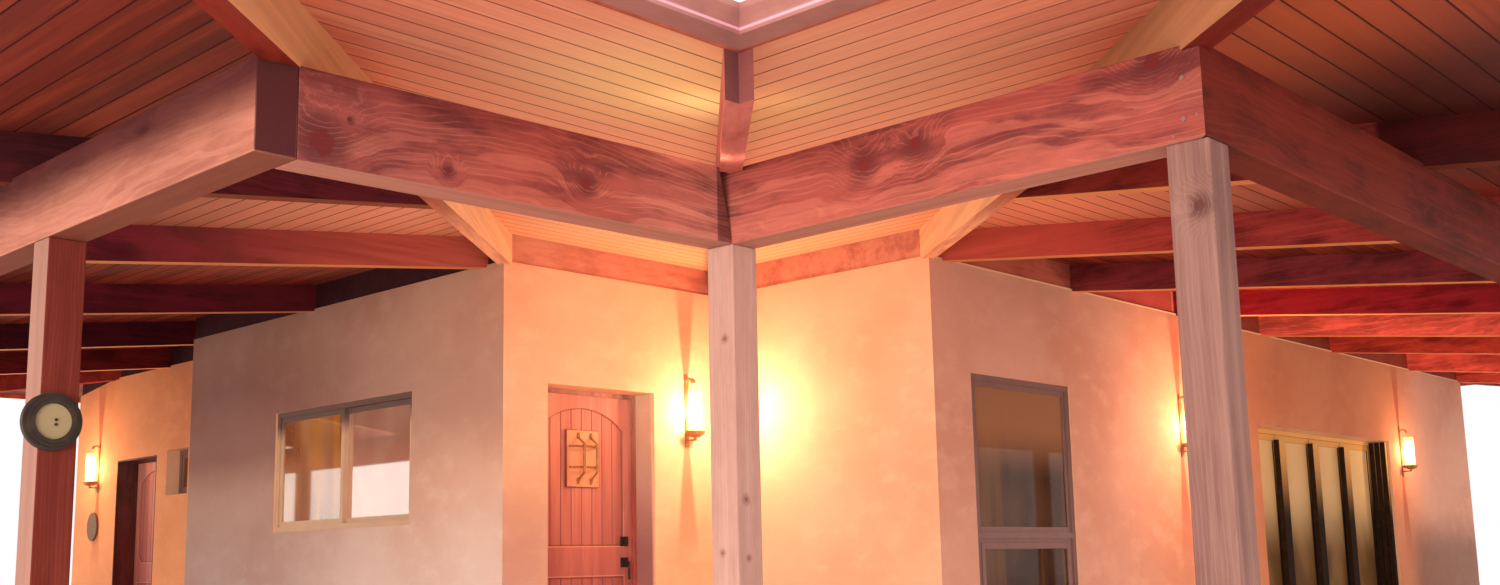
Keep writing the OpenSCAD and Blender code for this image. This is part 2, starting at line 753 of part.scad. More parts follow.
// Lock and latch plates with a grip outside and a knob inside
plate_w = 66;
plate_t = 8;
grip_d = 17;
grip_drop = 118;
module round_out(x, z, d, out) translate([x, 0, z]) rotate([90, 0, 0]) cylinder(d = d, h = out, $fn = 48);
module handle_set(width) in_lining() {
    x = width - handle_in;
    for (z = [lock_z, latch_z]) {
        block([x - plate_w / 2, -plate_t, z - plate_w / 2], [x + plate_w / 2, 0, z + plate_w / 2]);
        block([x - plate_w / 2, leaf_t, z - plate_w / 2],
            [x + plate_w / 2, leaf_t + plate_t, z + plate_w / 2]);
    }
    round_out(x, lock_z, plate_w / 2, plate_t + grip_d);
    round_out(x, latch_z, grip_d, handle_out - grip_d / 2);
    translate([x, grip_d / 2 - handle_out, latch_z - grip_drop])
        cylinder(d = grip_d, h = grip_drop + grip_d / 2, $fn = 48);
    translate([x, leaf_t, latch_z]) rotate([-90, 0, 0]) cylinder(d = grip_d, h = handle_out / 2, $fn = 48);
    translate([x, leaf_t + handle_out / 2 - grip_d, latch_z]) rotate([-90, 0, 0])
        cylinder(d = plate_w * 3 / 4, h = grip_d, $fn = 48);
}

module front_door_hardware() color([0.15, 0.13, 0.12]) at_front_door() {
    handle_set(leaf_w);
    door_hinges();
}
module side_door_hardware() color([0.15, 0.13, 0.12]) at_side_door() {
    handle_set(side_leaf_w);
    door_hinges();
}

// A window in a wall opening, its outer face at y = 0. Each light is [left, right, low, high,
// depth of its sash behind the frame's face]
function inside(width, height) = [bar_w, width - bar_w, bar_w, height - bar_w];
module window_ring(width, height, depth, edge) difference() {
    cube([width, depth, height]);
    translate([edge, -1, edge]) cube([width - 2 * edge, depth + 2, height - 2 * edge]);
}
module at_light(light) translate([light[0], light[4], light[2]]) children();
module sash(light, edge) at_light(light)
    window_ring(light[1] - light[0], light[3] - light[2], sash_t, edge);
module window_frame(width, height, lights) color([0.6, 0.5, 0.45]) {
    window_ring(width, height, frame_d, bar_w);
    for (light = lights) sash(light, sash_w);
}
module window_panes(lights, edge) color([0.6, 0.75, 0.8, 0.4]) for (light = lights)
    at_light(light) translate([edge, (sash_t - glass_t) / 2, edge])
        cube([light[1] - light[0] - 2 * edge, glass_t, light[3] - light[2] - 2 * edge]);

// A slider has two sashes that pass each other, the inner one behind the outer one
function slider(width, height) = [
    [bar_w, (width + sash_w) / 2, bar_w, height - bar_w, sash_back],
    [(width - sash_w) / 2, width - bar_w, bar_w, height - bar_w, sash_back + sash_t]];
function single(width, height) = [[bar_w, width - bar_w, bar_w, height - bar_w, sash_back]];
left_win_lights = slider(left_win_w, left_win_h);
back_win_lights = slider(back_win_w, back_win_h);
small_win_lights = single(small_win_w, small_win_h);
right_win_lights = [
    [bar_w, right_win_w - bar_w, bar_w, right_win_low_h, sash_back],
    [bar_w, right_win_w - bar_w, right_win_low_h + bar_w, right_win_h - bar_w, sash_back]];
fold_h = fold_top - floor_t;
fold_leaf_w = (fold_w - 2 * bar_w) / fold_leaves;
fold_lights = [for (i = [0:fold_leaves - 1])
    [bar_w + i * fold_leaf_w, bar_w + (i + 1) * fold_leaf_w, bar_w, fold_h - bar_w, sash_back]];
fold_stile = sash_w * 3 / 2;

module at_left_window() translate([frame_back - notch, left_win_from + left_win_w, left_win_sill])
    rotate([0, 0, -90]) children();
module at_right_window() translate([right_win_from, frame_back - notch, right_win_sill]) children();
module at_glass_doors() translate([fold_from, fold_back - notch, floor_t]) children();
module at_back_windows() {
    for (x = back_win_x) translate([x + back_win_w, back_y - frame_back, back_win_sill])
        rotate([0, 0, 180]) children();
    for (y = end_win_y) translate([right_len - frame_back, y, back_win_sill])
        rotate([0, 0, 90]) children();
}
module at_small_window() translate([far_left_x + small_win_back, small_win_y + small_win_w, small_win_sill])
    rotate([0, 0, -90]) children();
module left_window_frame() at_left_window() window_frame(left_win_w, left_win_h, left_win_lights);
module small_window_frame() at_small_window()
    window_frame(small_win_w, small_win_h, small_win_lights);
module right_window_frame() at_right_window() {
    window_frame(right_win_w, right_win_h, right_win_lights);
    color([0.6, 0.5, 0.45]) block([bar_w, 0, right_win_low_h],
        [right_win_w - bar_w, frame_d, right_win_low_h + bar_w]);
}
module back_window_frames() at_back_windows() window_frame(back_win_w, back_win_h, back_win_lights);

// The folding leaves stand shut side by side, with a groove on both faces between each two
module glass_door_frames() at_glass_doors() color([0.3, 0.25, 0.2]) {
    window_ring(fold_w, fold_h, frame_d, bar_w);
    difference() {
        for (light = fold_lights) sash(light, fold_stile);
        for (light = fold_lights, y = [sash_back - 1, sash_back + sash_t * 3 / 4])
            block([light[0] - leaf_gap / 2, y, bar_w], [light[0] + leaf_gap / 2, y + sash_t / 4 + 1,
                fold_h - bar_w]);
    }
}
module window_glass() {
    at_left_window() window_panes(left_win_lights, sash_w);
    at_right_window() window_panes(right_win_lights, sash_w);
    at_small_window() window_panes(small_win_lights, sash_w);
    at_glass_doors() window_panes(fold_lights, fold_stile);
    at_back_windows() window_panes(back_win_lights, sash_w);
}

// Wall lanterns, each with the wall behind it at y = 0 and the foot of its glass at z = 0
strap_w = 34;
strap_t = 12;
strap_low = 110;
strap_high = 345;
scroll_r = 42;
dish_d = 148;
dish_h = 44;
module at_lanterns() {
    translate([-entry_lantern_from, 0, lantern_z]) children();
    translate([fold_from - near_lantern_from, -notch, lantern_z - lantern_right_drop]) children();
    translate([fold_from + fold_w + far_lantern_from, -notch, lantern_z - lantern_right_drop])
        children();
    translate([far_left_x, side_door_y + side_door_w + side_lantern_from,
        lantern_z + lantern_left_rise]) rotate([0, 0, -90]) children();
}
module lanterns() color([0.25, 0.18, 0.14]) at_lanterns() {
    block([-strap_w / 2, -strap_t, -strap_low], [strap_w / 2, 0, strap_high]);
    translate([0, -scroll_r, strap_high]) rotate([0, 90, 0]) difference() {
        cylinder(r = scroll_r, h = strap_w, center = true, $fn = 64);
        cylinder(r = scroll_r - strap_t, h = strap_w + 2, center = true, $fn = 64);
        translate([0, -scroll_r - 1, -strap_w]) cube([scroll_r + 1, 2 * scroll_r + 2, 2 * strap_w]);
    }
    block([-strap_t / 2, -lantern_out, -dish_h - 2 * strap_t], [strap_t / 2, -strap_t, -dish_h - strap_t]);
    translate([0, -lantern_out, -dish_h - 2 * strap_t]) cylinder(d = 2 * strap_t, h = 2 * strap_t, $fn = 48);
    translate([0, -lantern_out, -dish_h]) rotate_extrude($fn = 72) polygon([[0, 0], [dish_d / 5, 0],
        [dish_d * 0.4, dish_h * 0.35], [dish_d / 2, dish_h * 0.8], [dish_d / 2, dish_h],
        [0, dish_h]]);
}
module lantern_glasses() color([1, 0.85, 0.6]) at_lanterns()
    translate([0, -lantern_out, 0]) cylinder(d = lantern_d, h = lantern_h, $fn = 48);

// A round dial with a moulded rim and a sunk face
dial_face_d = dial_d * 5 / 8;
module post_dial() color([0.2, 0.2, 0.2])
    translate([left_beam_x + dial_in, left_post_y, dial_z]) rotate([90, 0, 0]) difference() {
        union() {
            cylinder(d = dial_d, h = dial_t * 0.6, $fn = 96);
            cylinder(d = dial_d * 0.88, h = dial_t * 0.85, $fn = 96);
            cylinder(d = dial_d * 0.76, h = dial_t, $fn = 96);
        }
        translate([0, 0, dial_t * 0.7]) cylinder(d = dial_face_d, h = dial_t, $fn = 96);
    }

// A plain oval plate on the far left wall
module oval_plaque() color([0.45, 0.35, 0.3])
    translate([far_left_x, side_door_y + side_door_w + plaque_from, plaque_z])
        rotate([0, 0, -90]) translate([0, -plaque_t, 0]) upright(plaque_t)
            polygon([for (a = [0:7.5:352.5]) [cos(a) * plaque_w / 2, sin(a) * plaque_h / 2]]);

front_wall_left();
front_wall_right();
front_wall_head();
entry_side_wall();
right_wall_near();
right_wall_head();
right_wall_far();
left_wall();
far_left_wall_near();
far_left_wall_head();
far_left_wall_far();
back_wall();
floor_slab();
thresholds();
centre_post();
left_post();
right_post();
far_posts();
left_inner_beam();
right_inner_beam();
left_outer_beam();
right_outer_beam();
left_hip();
right_hip();
valley_rafter();
back_hips();
left_rafters();
right_rafters();
back_rafters();
wall_blocking();
left_deck();
entry_left_deck();
entry_right_deck();
right_deck();
back_deck();
roof_covering();
fascia();
front_gutter();
door_frames();
front_door_leaf();
front_door_hardware();
side_door_leaf();
side_door_hardware();
left_window_frame();
right_window_frame();
small_window_frame();
glass_door_frames();
back_window_frames();
window_glass();
lanterns();
lantern_glasses();
post_dial();
oval_plaque();
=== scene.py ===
"""Dresses the adobe house: the finishes of its CAD pieces, the small pieces that only the scene has,
the camera of the photograph and its evening light."""

import math
from collections import namedtuple

import bmesh
import bpy
from mathutils import Matrix, Vector


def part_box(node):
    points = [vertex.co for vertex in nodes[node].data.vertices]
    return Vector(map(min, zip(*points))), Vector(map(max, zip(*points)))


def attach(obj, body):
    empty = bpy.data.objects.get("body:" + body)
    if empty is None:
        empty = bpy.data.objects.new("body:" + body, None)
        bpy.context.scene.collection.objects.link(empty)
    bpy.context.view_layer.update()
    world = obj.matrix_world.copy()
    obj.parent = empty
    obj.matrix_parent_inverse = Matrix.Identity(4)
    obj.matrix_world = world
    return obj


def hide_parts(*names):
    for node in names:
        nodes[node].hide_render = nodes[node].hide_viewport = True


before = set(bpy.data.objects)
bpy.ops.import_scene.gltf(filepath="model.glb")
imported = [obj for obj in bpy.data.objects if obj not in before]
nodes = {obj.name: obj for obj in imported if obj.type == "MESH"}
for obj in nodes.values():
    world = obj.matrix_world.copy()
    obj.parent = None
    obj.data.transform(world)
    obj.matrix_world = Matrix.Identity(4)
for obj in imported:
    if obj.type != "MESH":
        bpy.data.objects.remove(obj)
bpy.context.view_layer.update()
X, Y, Z = Vector((1, 0, 0)), Vector((0, 1, 0)), Vector((0, 0, 1))
QUARTER = math.pi / 2

# Camera, where the photograph was taken from
EYE = Vector((-7.538, -7.336, 0.98))
YAW = math.radians(42.851)
PITCH = math.radians(8.901)
ROLL = math.radians(-1.218)
LENS = 34.5
SENSOR_W = 36
SHIFT_Y = 0.0305
SIGHT = 200

# Driving sizes, in metres
BOARD_W = 0.135
BOARD_JOINT = 0.006
SEAM_PITCH = 0.42
SEAM_W = 0.022
SEAM_H = 0.028
BEAM_ARRIS = 0.005
POST_ARRIS = 0.006

# A door's panels, from the foot of its leaf
STILE_W = 0.085
PANEL_TOP = 1.953
RAIL_TOP = 1.014
RAIL_LOW = 0.805
BOTTOM_RAIL = 0.24
ARCH_RISE = 0.14
PLANK_W = 0.092

# The speakeasy's board, its bars and straps from the board's middle, and the rivets of their feet
PEEK_SIZE = (0.29, 0.388)
PEEK_Z = 1.605
PEEK_BARS = (-0.045, 0.068)
PEEK_BAR_HALF = 0.15
PEEK_BAR_R = 0.0095
PEEK_BAR_BOW = 0.064
PEEK_STRAPS = (0.08, -0.062)
PEEK_STRAP_ENDS = (-0.125, 0.135)
PEEK_STRAP_R = 0.0075
PEEK_STRAP_BOW = 0.052
PEEK_FOOT = Vector((0.012, 0.008, 0.016))
PEEK_OFF = 0.003
RIVET_R = 0.01
RIVET_H = 0.007
RIVET_OFF = 0.004
RIVET_PAST = 0.018
BAR_SIDES = 12
BAR_RINGS = 18

# Heads on the face of the right inner beam: y and z of each
BOLTS = ((-5.467, 2.401), (-5.464, 2.273))
BOLT_R = 0.008
BOLT_H = 0.005
NAILS = ((-5.506, 2.279), (-5.427, 2.225))
NAIL_R = 0.0045
NAIL_H = 0.003

# The sash round the right window's lower light
SASH_LOW = Vector((0.49, -1.93, 0.62))
SASH_HIGH = Vector((1.61, -1.9165, 1.084))
SASH_STILE = 0.04
SASH_RAIL = 0.046
SASH_GAP = 0.001

# The glass doors: the stiles where leaves meet, and the edges of the leaves folded away
LEAF_JOINTS = (5.71, 6.5, 7.29)
LEAF_STILE = (Vector((-0.07, -1.815, 0.12)), Vector((0.07, -1.7605, 2.02)))
FOLDED_LEAVES = (-1.925, -1.868, -1.811, -1.754)
FOLDED_LEAF = (Vector((8.06, 0.0, 0.11)), Vector((8.115, 0.052, 2.1)))

# The dial's face, and its spindles from the middle
DIAL_SUNK = 0.012
DIAL_R = 0.064
SPINDLE_R = 0.0055
SPINDLE_X = 0.008
SPINDLES_Z = (-0.011, 0.006)

# Places that the finishes and the small pieces refer to
WALL_TOP = 2.945
BEAM_FACE = -3.58
VALLEY_FOOT = (-3.8, -3.8, 2.6)
NOTCH_CORNER = (-0.6, -0.6, 3.0)
NOTCH_HIP = (-2.3, -1.2, 3.0)
NOTCH_LEFT = (-1.95, 0.05, 2.95)
NOTCH_RIGHT = (0.05, -1.95, 2.95)
RIGHT_NOTCH = (-0.6, -2.8, 2.95)
LEFT_STEP = 4.26
GLASS_DOOR_END = 8.3
OUTSIDE = 1.5
BEYOND = 20.0

# Light
SKY_TONE = (1.0, 0.92, 0.84, 1)
SKY_POWER = 1.7
FLOOR_TONE = (0.8, 0.78, 0.75, 1)
FLOOR_HALF = 60
LAMP_TONE = (1.0, 0.61, 0.35)
VALLEY_TONE = (1.0, 0.84, 0.62)
BULB_R = 0.025
GLOW_R = 0.05

# Fills shine at a point. Glows shine straight up at the boards, and neither the camera nor a shiny face
# sees them.
SoftLamp = namedtuple("SoftLamp", "name place width height power tone")
FILLS = (
    (SoftLamp("front_fill", (-17, -16, 2.6), 12, 4, 400, (1.0, 0.9, 0.8)), (0, 0, 1.6)),
    (SoftLamp("left_fill", (-15, -7, 1.4), 6, 2, 900, (1.0, 0.88, 0.76)), (-1.9, 1.0, 1.2)),
)
GLOWS = (
    SoftLamp("notch_glow", (-2.0, -2.0, 1.4), 1.6, 1.6, 20, (1.0, 0.86, 0.66)),
    SoftLamp("far_glow", (6.8, -3.7, 1.5), 4.0, 1.6, 18, (1.0, 0.62, 0.42)),
    SoftLamp("valley_left_glow", (-3.88, -3.73, 2.42), 0.16, 0.1, 0.45, VALLEY_TONE),
    SoftLamp("valley_right_glow", (-3.73, -3.9, 2.42), 0.1, 0.16, 0.2, VALLEY_TONE),
)

# The middle of each lantern's glass, the way it faces, its bulb's and its glow's power, and how far
# in front of it the glow is
Lantern = namedtuple("Lantern", "place out bulb glow reach")
LANTERNS = (Lantern((-0.32, -0.09, 2.06), -Y, 14, 30, 0.36), Lantern((3.39, -2.04, 2.0), -Y, 9, 70, 0.6),
            Lantern((8.45, -2.04, 2.0), -Y, 7, 18, 0.36), Lantern((-1.14, 8.166, 2.12), -X, 7, 20, 0.36))


def added(name, data):
    """A new object in the scene."""
    obj = bpy.data.objects.new(name, data)
    bpy.context.scene.collection.objects.link(obj)
    return obj


def camera():
    data = bpy.data.cameras.new("camera")
    data.sensor_width = SENSOR_W
    data.lens = LENS
    data.shift_y = SHIFT_Y
    data.clip_end = SIGHT
    obj = added("camera", data)
    obj.matrix_world = (
        Matrix.Translation(EYE)
        @ Matrix.Rotation(YAW - QUARTER, 4, "Z")
        @ Matrix.Rotation(QUARTER + PITCH, 4, "X")
        @ Matrix.Rotation(ROLL, 4, "Z")
    )
    bpy.context.scene.camera = obj


def soft_lamp(lamp, aim, hidden):
    """A lamp with a soft face that shines towards a place."""
    data = bpy.data.lights.new(lamp.name, "AREA")
    data.shape = "RECTANGLE"
    data.size = lamp.width
    data.size_y = lamp.height
    data.energy = lamp.power
    data.color = lamp.tone
    obj = added(lamp.name, data)
    obj.location = lamp.place
    obj.rotation_euler = (Vector(aim) - Vector(lamp.place)).to_track_quat("-Z", "Y").to_euler()
    if hidden:
        obj.visible_camera = False
        obj.visible_glossy = False


def lantern_lamps(lantern):
    """A bulb inside the lantern's glass, and a wider glow in front of it."""
    for name, reach, power, radius in (("bulb", 0.0, lantern.bulb, BULB_R),
                                       ("glow", lantern.reach, lantern.glow, GLOW_R)):
        data = bpy.data.lights.new(name, "POINT")
        data.energy = power
        data.color = LAMP_TONE
        data.shadow_soft_size = radius
        obj = added(name, data)
        obj.location = Vector(lantern.place) + lantern.out * reach
        obj.visible_camera = False
        obj.visible_glossy = name == "bulb"


def sky():
    """A pale even light from all round, plain white where it is looked at."""
    world = bpy.data.worlds.new("studio")
    bpy.context.scene.world = world
    world.use_nodes = True
    tree = world.node_tree
    light = tree.nodes["Background"]
    light.inputs["Color"].default_value = SKY_TONE
    light.inputs["Strength"].default_value = SKY_POWER
    plain = tree.nodes.new("ShaderNodeBackground")
    plain.inputs["Color"].default_value = (1, 1, 1, 1)
    path = tree.nodes.new("ShaderNodeLightPath")
    looks = tree.nodes.new("ShaderNodeMath")
    looks.operation = "MAXIMUM"
    mix = tree.nodes.new("ShaderNodeMixShader")
    tree.links.new(path.outputs["Is Camera Ray"], looks.inputs[0])
    tree.links.new(path.outputs["Is Transmission Ray"], looks.inputs[1])
    tree.links.new(looks.outputs[0], mix.inputs[0])
    tree.links.new(light.outputs[0], mix.inputs[1])
    tree.links.new(plain.outputs[0], mix.inputs[2])
    tree.links.new(mix.outputs[0], tree.nodes["World Output"].inputs["Surface"])


def studio_floor():
    bm = bmesh.new()
    bmesh.ops.create_grid(bm, x_segments=1, y_segments=1, size=FLOOR_HALF)
    mesh = bpy.data.meshes.new("floor")
    bm.to_mesh(mesh)
    bm.free()
    floor = added("floor", mesh)
    mat = bpy.data.materials.new("floor")
    mat.use_nodes = True
    mat.node_tree.nodes["Principled BSDF"].inputs["Base Color"].default_value = FLOOR_TONE
    mesh.materials.append(mat)


def studio():
    bpy.context.scene.view_settings.view_transform = "Standard"
    sky()
    studio_floor()
    for lamp, aim in FILLS:
        soft_lamp(lamp, aim, False)
    for lamp in GLOWS:
        soft_lamp(lamp, Vector(lamp.place) + Z, True)
    for lantern in LANTERNS:
        lantern_lamps(lantern)


def seen(r, g, b):
    """A colour as it looks, 0 to 255, as the linear values that a shader takes."""
    shares = [c / 255 for c in (r, g, b)]
    linear = [s / 12.92 if s <= 0.04 else ((s + 0.055) / 1.055) ** 2.4 for s in shares]
    return (*linear, 1)


def deeper(tone, red, green, blue):
    """A tone with each of its parts made less."""
    return (tone[0] * red, tone[1] * green, tone[2] * blue, 1)


# Tones. Each timber has a dark, a middle and a light one.

# Some sets paint light and shade: the left rafters darker than the right ones, the right outer beam darker
# than the left one, and the outer boards darker than the entry boards.
BEAM_TONES = (seen(104, 48, 48), seen(158, 76, 68), seen(206, 116, 98))
OUTER_BEAM_TONES = (seen(70, 20, 16), seen(108, 34, 24), seen(134, 48, 32))
LEFT_OUTER_TONES = (seen(146, 88, 76), seen(178, 114, 96), seen(202, 138, 120))
POST_TONES = (seen(154, 112, 105), seen(189, 147, 136), seen(207, 168, 155))
SIDE_POST_TONES = (seen(92, 60, 58), seen(131, 94, 88), seen(156, 119, 108))
LEFT_POST_TONES = (seen(78, 28, 24), seen(108, 42, 34), seen(128, 58, 46))
LEFT_RAFTER_TONES = (seen(54, 16, 22), seen(86, 28, 34), seen(110, 40, 40))
RIGHT_RAFTER_TONES = (seen(92, 26, 24), seen(146, 50, 42), seen(184, 74, 56))
HIP_TONES = (seen(110, 32, 26), seen(148, 50, 40), seen(172, 68, 54))
VALLEY_TONES = (seen(164, 80, 74), seen(204, 114, 104), seen(222, 136, 118))
EAVES_TONES = (seen(150, 66, 50), seen(196, 98, 72), seen(214, 120, 88))
BLOCKING_TONES = (seen(190, 112, 94), seen(222, 152, 130), seen(238, 172, 146))
ENTRY_BOARD_TONES = (seen(190, 98, 80), seen(224, 132, 104), seen(240, 164, 132))
OUTER_BOARD_TONES = (seen(92, 29, 22), seen(143, 51, 35), seen(176, 76, 47))
DOOR_TONES = (seen(144, 66, 62), seen(190, 98, 90), seen(208, 116, 104))
# Painted light on the doors: darker at the foot, lighter towards the top.
DOOR_FOOT_TINT = (0.72, 0.68, 0.76)
DOOR_TOP_TINT = (1.3, 1.9, 1.7)
# Tones that faces take by the way they face, as painted light and shade; the end grain's tone is its own.
BEAM_UNDERSIDE = seen(190, 128, 112)
LEFT_OUTER_UNDERSIDE = seen(130, 70, 54)
LEFT_POST_SIDE = seen(164, 122, 110)
LIT_UNDERSIDE = seen(232, 150, 92)
LIT_SIDE = seen(252, 206, 162)
END_GRAIN = seen(76, 36, 38)

# Painted light and shade on the plaster, as factors of its colour
SOUTH_TINT = (0.84, 0.72, 0.84)
SOUTH_FAR_TINT = (0.84, 0.62, 0.42)
SOUTH_FOOT_TINT = (0.42, 0.42, 0.42)
FAR_TINT = (0.94, 0.62, 0.42)
LEFT_TINT = (0.88, 0.86, 0.98)
LEFT_SHADE_TINT = (0.4, 0.32, 0.36)
LEFT_FOOT_TINT = (1.0, 1.22, 1.45)
REVEAL_TINT = (0.42, 0.3, 0.44)
LIT_REVEAL_TINT = (2.0, 3.3, 2.6)
ENTRY_CORNER_TINT = (0.72, 0.7, 0.86)
BRACKET_SHADE = (0.74, 0.5, 0.48)

# Zones of painted light and shade: a place, the distances at which the zone is full and gone, its strength
# there, and its tone
LEFT_BOARD_ZONES = ((NOTCH_HIP, 0.6, 3.6, 0.92, seen(255, 178, 146)),
                    ((-5.5, -0.6, 2.7), 0.4, 1.4, 0.8, seen(40, 14, 24)))
RIGHT_BOARD_ZONES = ((RIGHT_NOTCH, 0.3, 2.4, 0.9, seen(255, 164, 130)),
                     ((-3.0, -5.4, 2.8), 0.2, 1.3, 0.6, seen(232, 116, 70)),
                     ((-1.5, -6.3, 2.8), 0.8, 1.8, 0.85, seen(60, 18, 16)))
ENTRY_BOARD_ZONES = ((VALLEY_FOOT, 0.2, 1.7, 0.85, seen(255, 206, 168)),
                     (NOTCH_CORNER, 1.0, 2.6, 0.9, seen(255, 210, 166)))
LEFT_VALLEY_LIGHT = ((-4.0, -3.85, 2.62), 0.1, 0.9, 0.9, seen(255, 226, 160))
RIGHT_VALLEY_LIGHT = ((-3.65, -3.75, 2.6), 0.1, 0.55, 0.7, seen(255, 214, 150))
LEFT_RAFTER_ZONES = ((NOTCH_LEFT, 0.2, 2.6, 0.9, seen(206, 106, 90)),)
RIGHT_RAFTER_ZONES = ((NOTCH_RIGHT, 0.2, 1.8, 0.9, seen(214, 100, 82)),)
HIP_ZONES = tuple((place, 1.0, 3.2, 0.95, seen(246, 176, 138)) for place in (NOTCH_LEFT, NOTCH_RIGHT))

# The tints paint light and shade on the timber.
# Tints: an axis, the two places along it between which the tint lies, how softly it starts and ends,
# and its factors
LEFT_UNDER_TINTS = ((Y, -2.0, -1.0, 0.01, (0.32, 0.2, 0.24)), (Y, 4.0, BEYOND, 0.01, (1.5, 1.9, 2.0)))
LEFT_RAFTER_TINTS = ((Y, -2.0, -1.0, 0.01, (1.3, 1.3, 1.5)), (Y, 0.1, 0.4, 0.01, (1.9, 1.5, 2.0)),
                     (Y, 2.2, 3.0, 0.01, (1.3, 0.8, 1.3)), (Y, 3.0, 6.0, 0.01, (0.8, 0.5, 0.9)),
                     (Y, 6.0, 8.0, 0.01, (1.6, 1.1, 1.2)), (Y, 8.02, BEYOND, 0.01, (3.4, 2.6, 1.6)),
                     (-X, 4.2, BEYOND, 1.0, (0.6, 0.7, 0.66)))
LEFT_HIP_TINTS = ((-X - Y, 6.6, BEYOND, 2.4, (0.8, 0.66, 0.56)),)
RIGHT_HIP_TINTS = ((-X - Y, 5.2, BEYOND, 2.4, (0.55, 0.4, 0.34)),)
TAIL_TINTS = ((-Y, 5.34, BEYOND, 0.04, (0.2, 0.09, 0.1)), (-X, 5.58, BEYOND, 0.04, (0.5, 0.3, 0.5)))
LEFT_INNER_TINTS = ((-X, 4.3, BEYOND, 1.0, (0.74, 0.84, 0.94)), (X, -4.5, BEYOND, 0.9, (1.2, 1.75, 1.85)),
                    (X, -3.66, BEYOND, 0.01, (0.4, 0.36, 0.4)), (Z, 2.36, BEYOND, 0.14, (0.76, 0.66, 0.7)))
RIGHT_INNER_TINTS = ((Y, -4.4, BEYOND, 0.9, (1.05, 1.2, 1.25)), (Z, 2.36, BEYOND, 0.14, (0.78, 0.68, 0.72)),
                     (-Y, 4.9, BEYOND, 0.6, (0.9, 0.9, 0.92)))
RIGHT_RAFTER_TINTS = ((X, 0.1, 0.3, 0.01, (1.4, 1.6, 2.0)), (X, 1.7, 2.0, 0.01, (0.9, 1.1, 1.8)),
                      (X, 3.4, 3.6, 0.01, (1.3, 0.6, 1.3)), (X, 5.0, 5.3, 0.01, (2.8, 4.4, 4.6)),
                      (X, 6.7, 7.0, 0.01, (1.9, 1.9, 1.6)), (X, 8.9, 9.1, 0.01, (2.8, 3.8, 4.0)),
                      (X, 10.5, 10.8, 0.01, (2.6, 3.0, 3.0)))
LEFT_OUTER_TINTS = ((Z, 2.25, BEYOND, 0.22, (0.2, 0.12, 0.16)),)
BLOCKING_TINTS = ((Y, 0.06, BEYOND, 0.02, (0.08, 0.05, 0.09)), (X, 0.06, 1.8, 0.02, (0.74, 0.46, 0.44)),
                  (X, 1.82, 3.4, 0.02, (0.7, 0.28, 0.34)), (X, 3.42, BEYOND, 0.02, (0.45, 0.22, 0.2)))
LINING_TINTS = ((Y, 4.0, 9.0, 0.1, (0.25, 0.2, 0.2)), (Z, 1.3, BEYOND, 0.7, (1.0, 1.9, 1.8)))

# Level bands of painted light and shade on metal: the heights between which one lies, how softly it starts
# and ends, and its tone
GUTTER_RIM_HIGHLIGHT = (2.557, 2.566, 0.004, seen(224, 164, 186))
LEFT_FRAME_HEAD_SHADE = (1.95, 9.0, 0.16, seen(70, 44, 50))
GLASS_DOOR_HEAD_LIGHT = (1.25, 9.0, 0.75, seen(238, 182, 112))

# Knots: the middle and the radius of each
LEFT_INNER_KNOTS = (((-5.31, -3.504, 2.279), 0.06), ((-4.294, -3.548, 2.322), 0.03),
                    ((-4.862, -3.523, 2.268), 0.018), ((-5.217, -3.508, 2.367), 0.01))
RIGHT_INNER_KNOTS = (((-3.58, -4.241, 2.389), 0.042), ((-3.58, -4.469, 2.413), 0.036),
                     ((-3.58, -5.37, 2.48), 0.04))
RIGHT_POST_KNOTS = (((-3.567, -5.489, 2.005), 0.024),)
CENTRE_POST_KNOTS = (((-3.58, -3.53, 1.84), 0.012), ((-3.53, -3.58, 1.22), 0.014),
                     ((-3.58, -3.5, 1.02), 0.01), ((-3.52, -3.58, 1.0), 0.01))


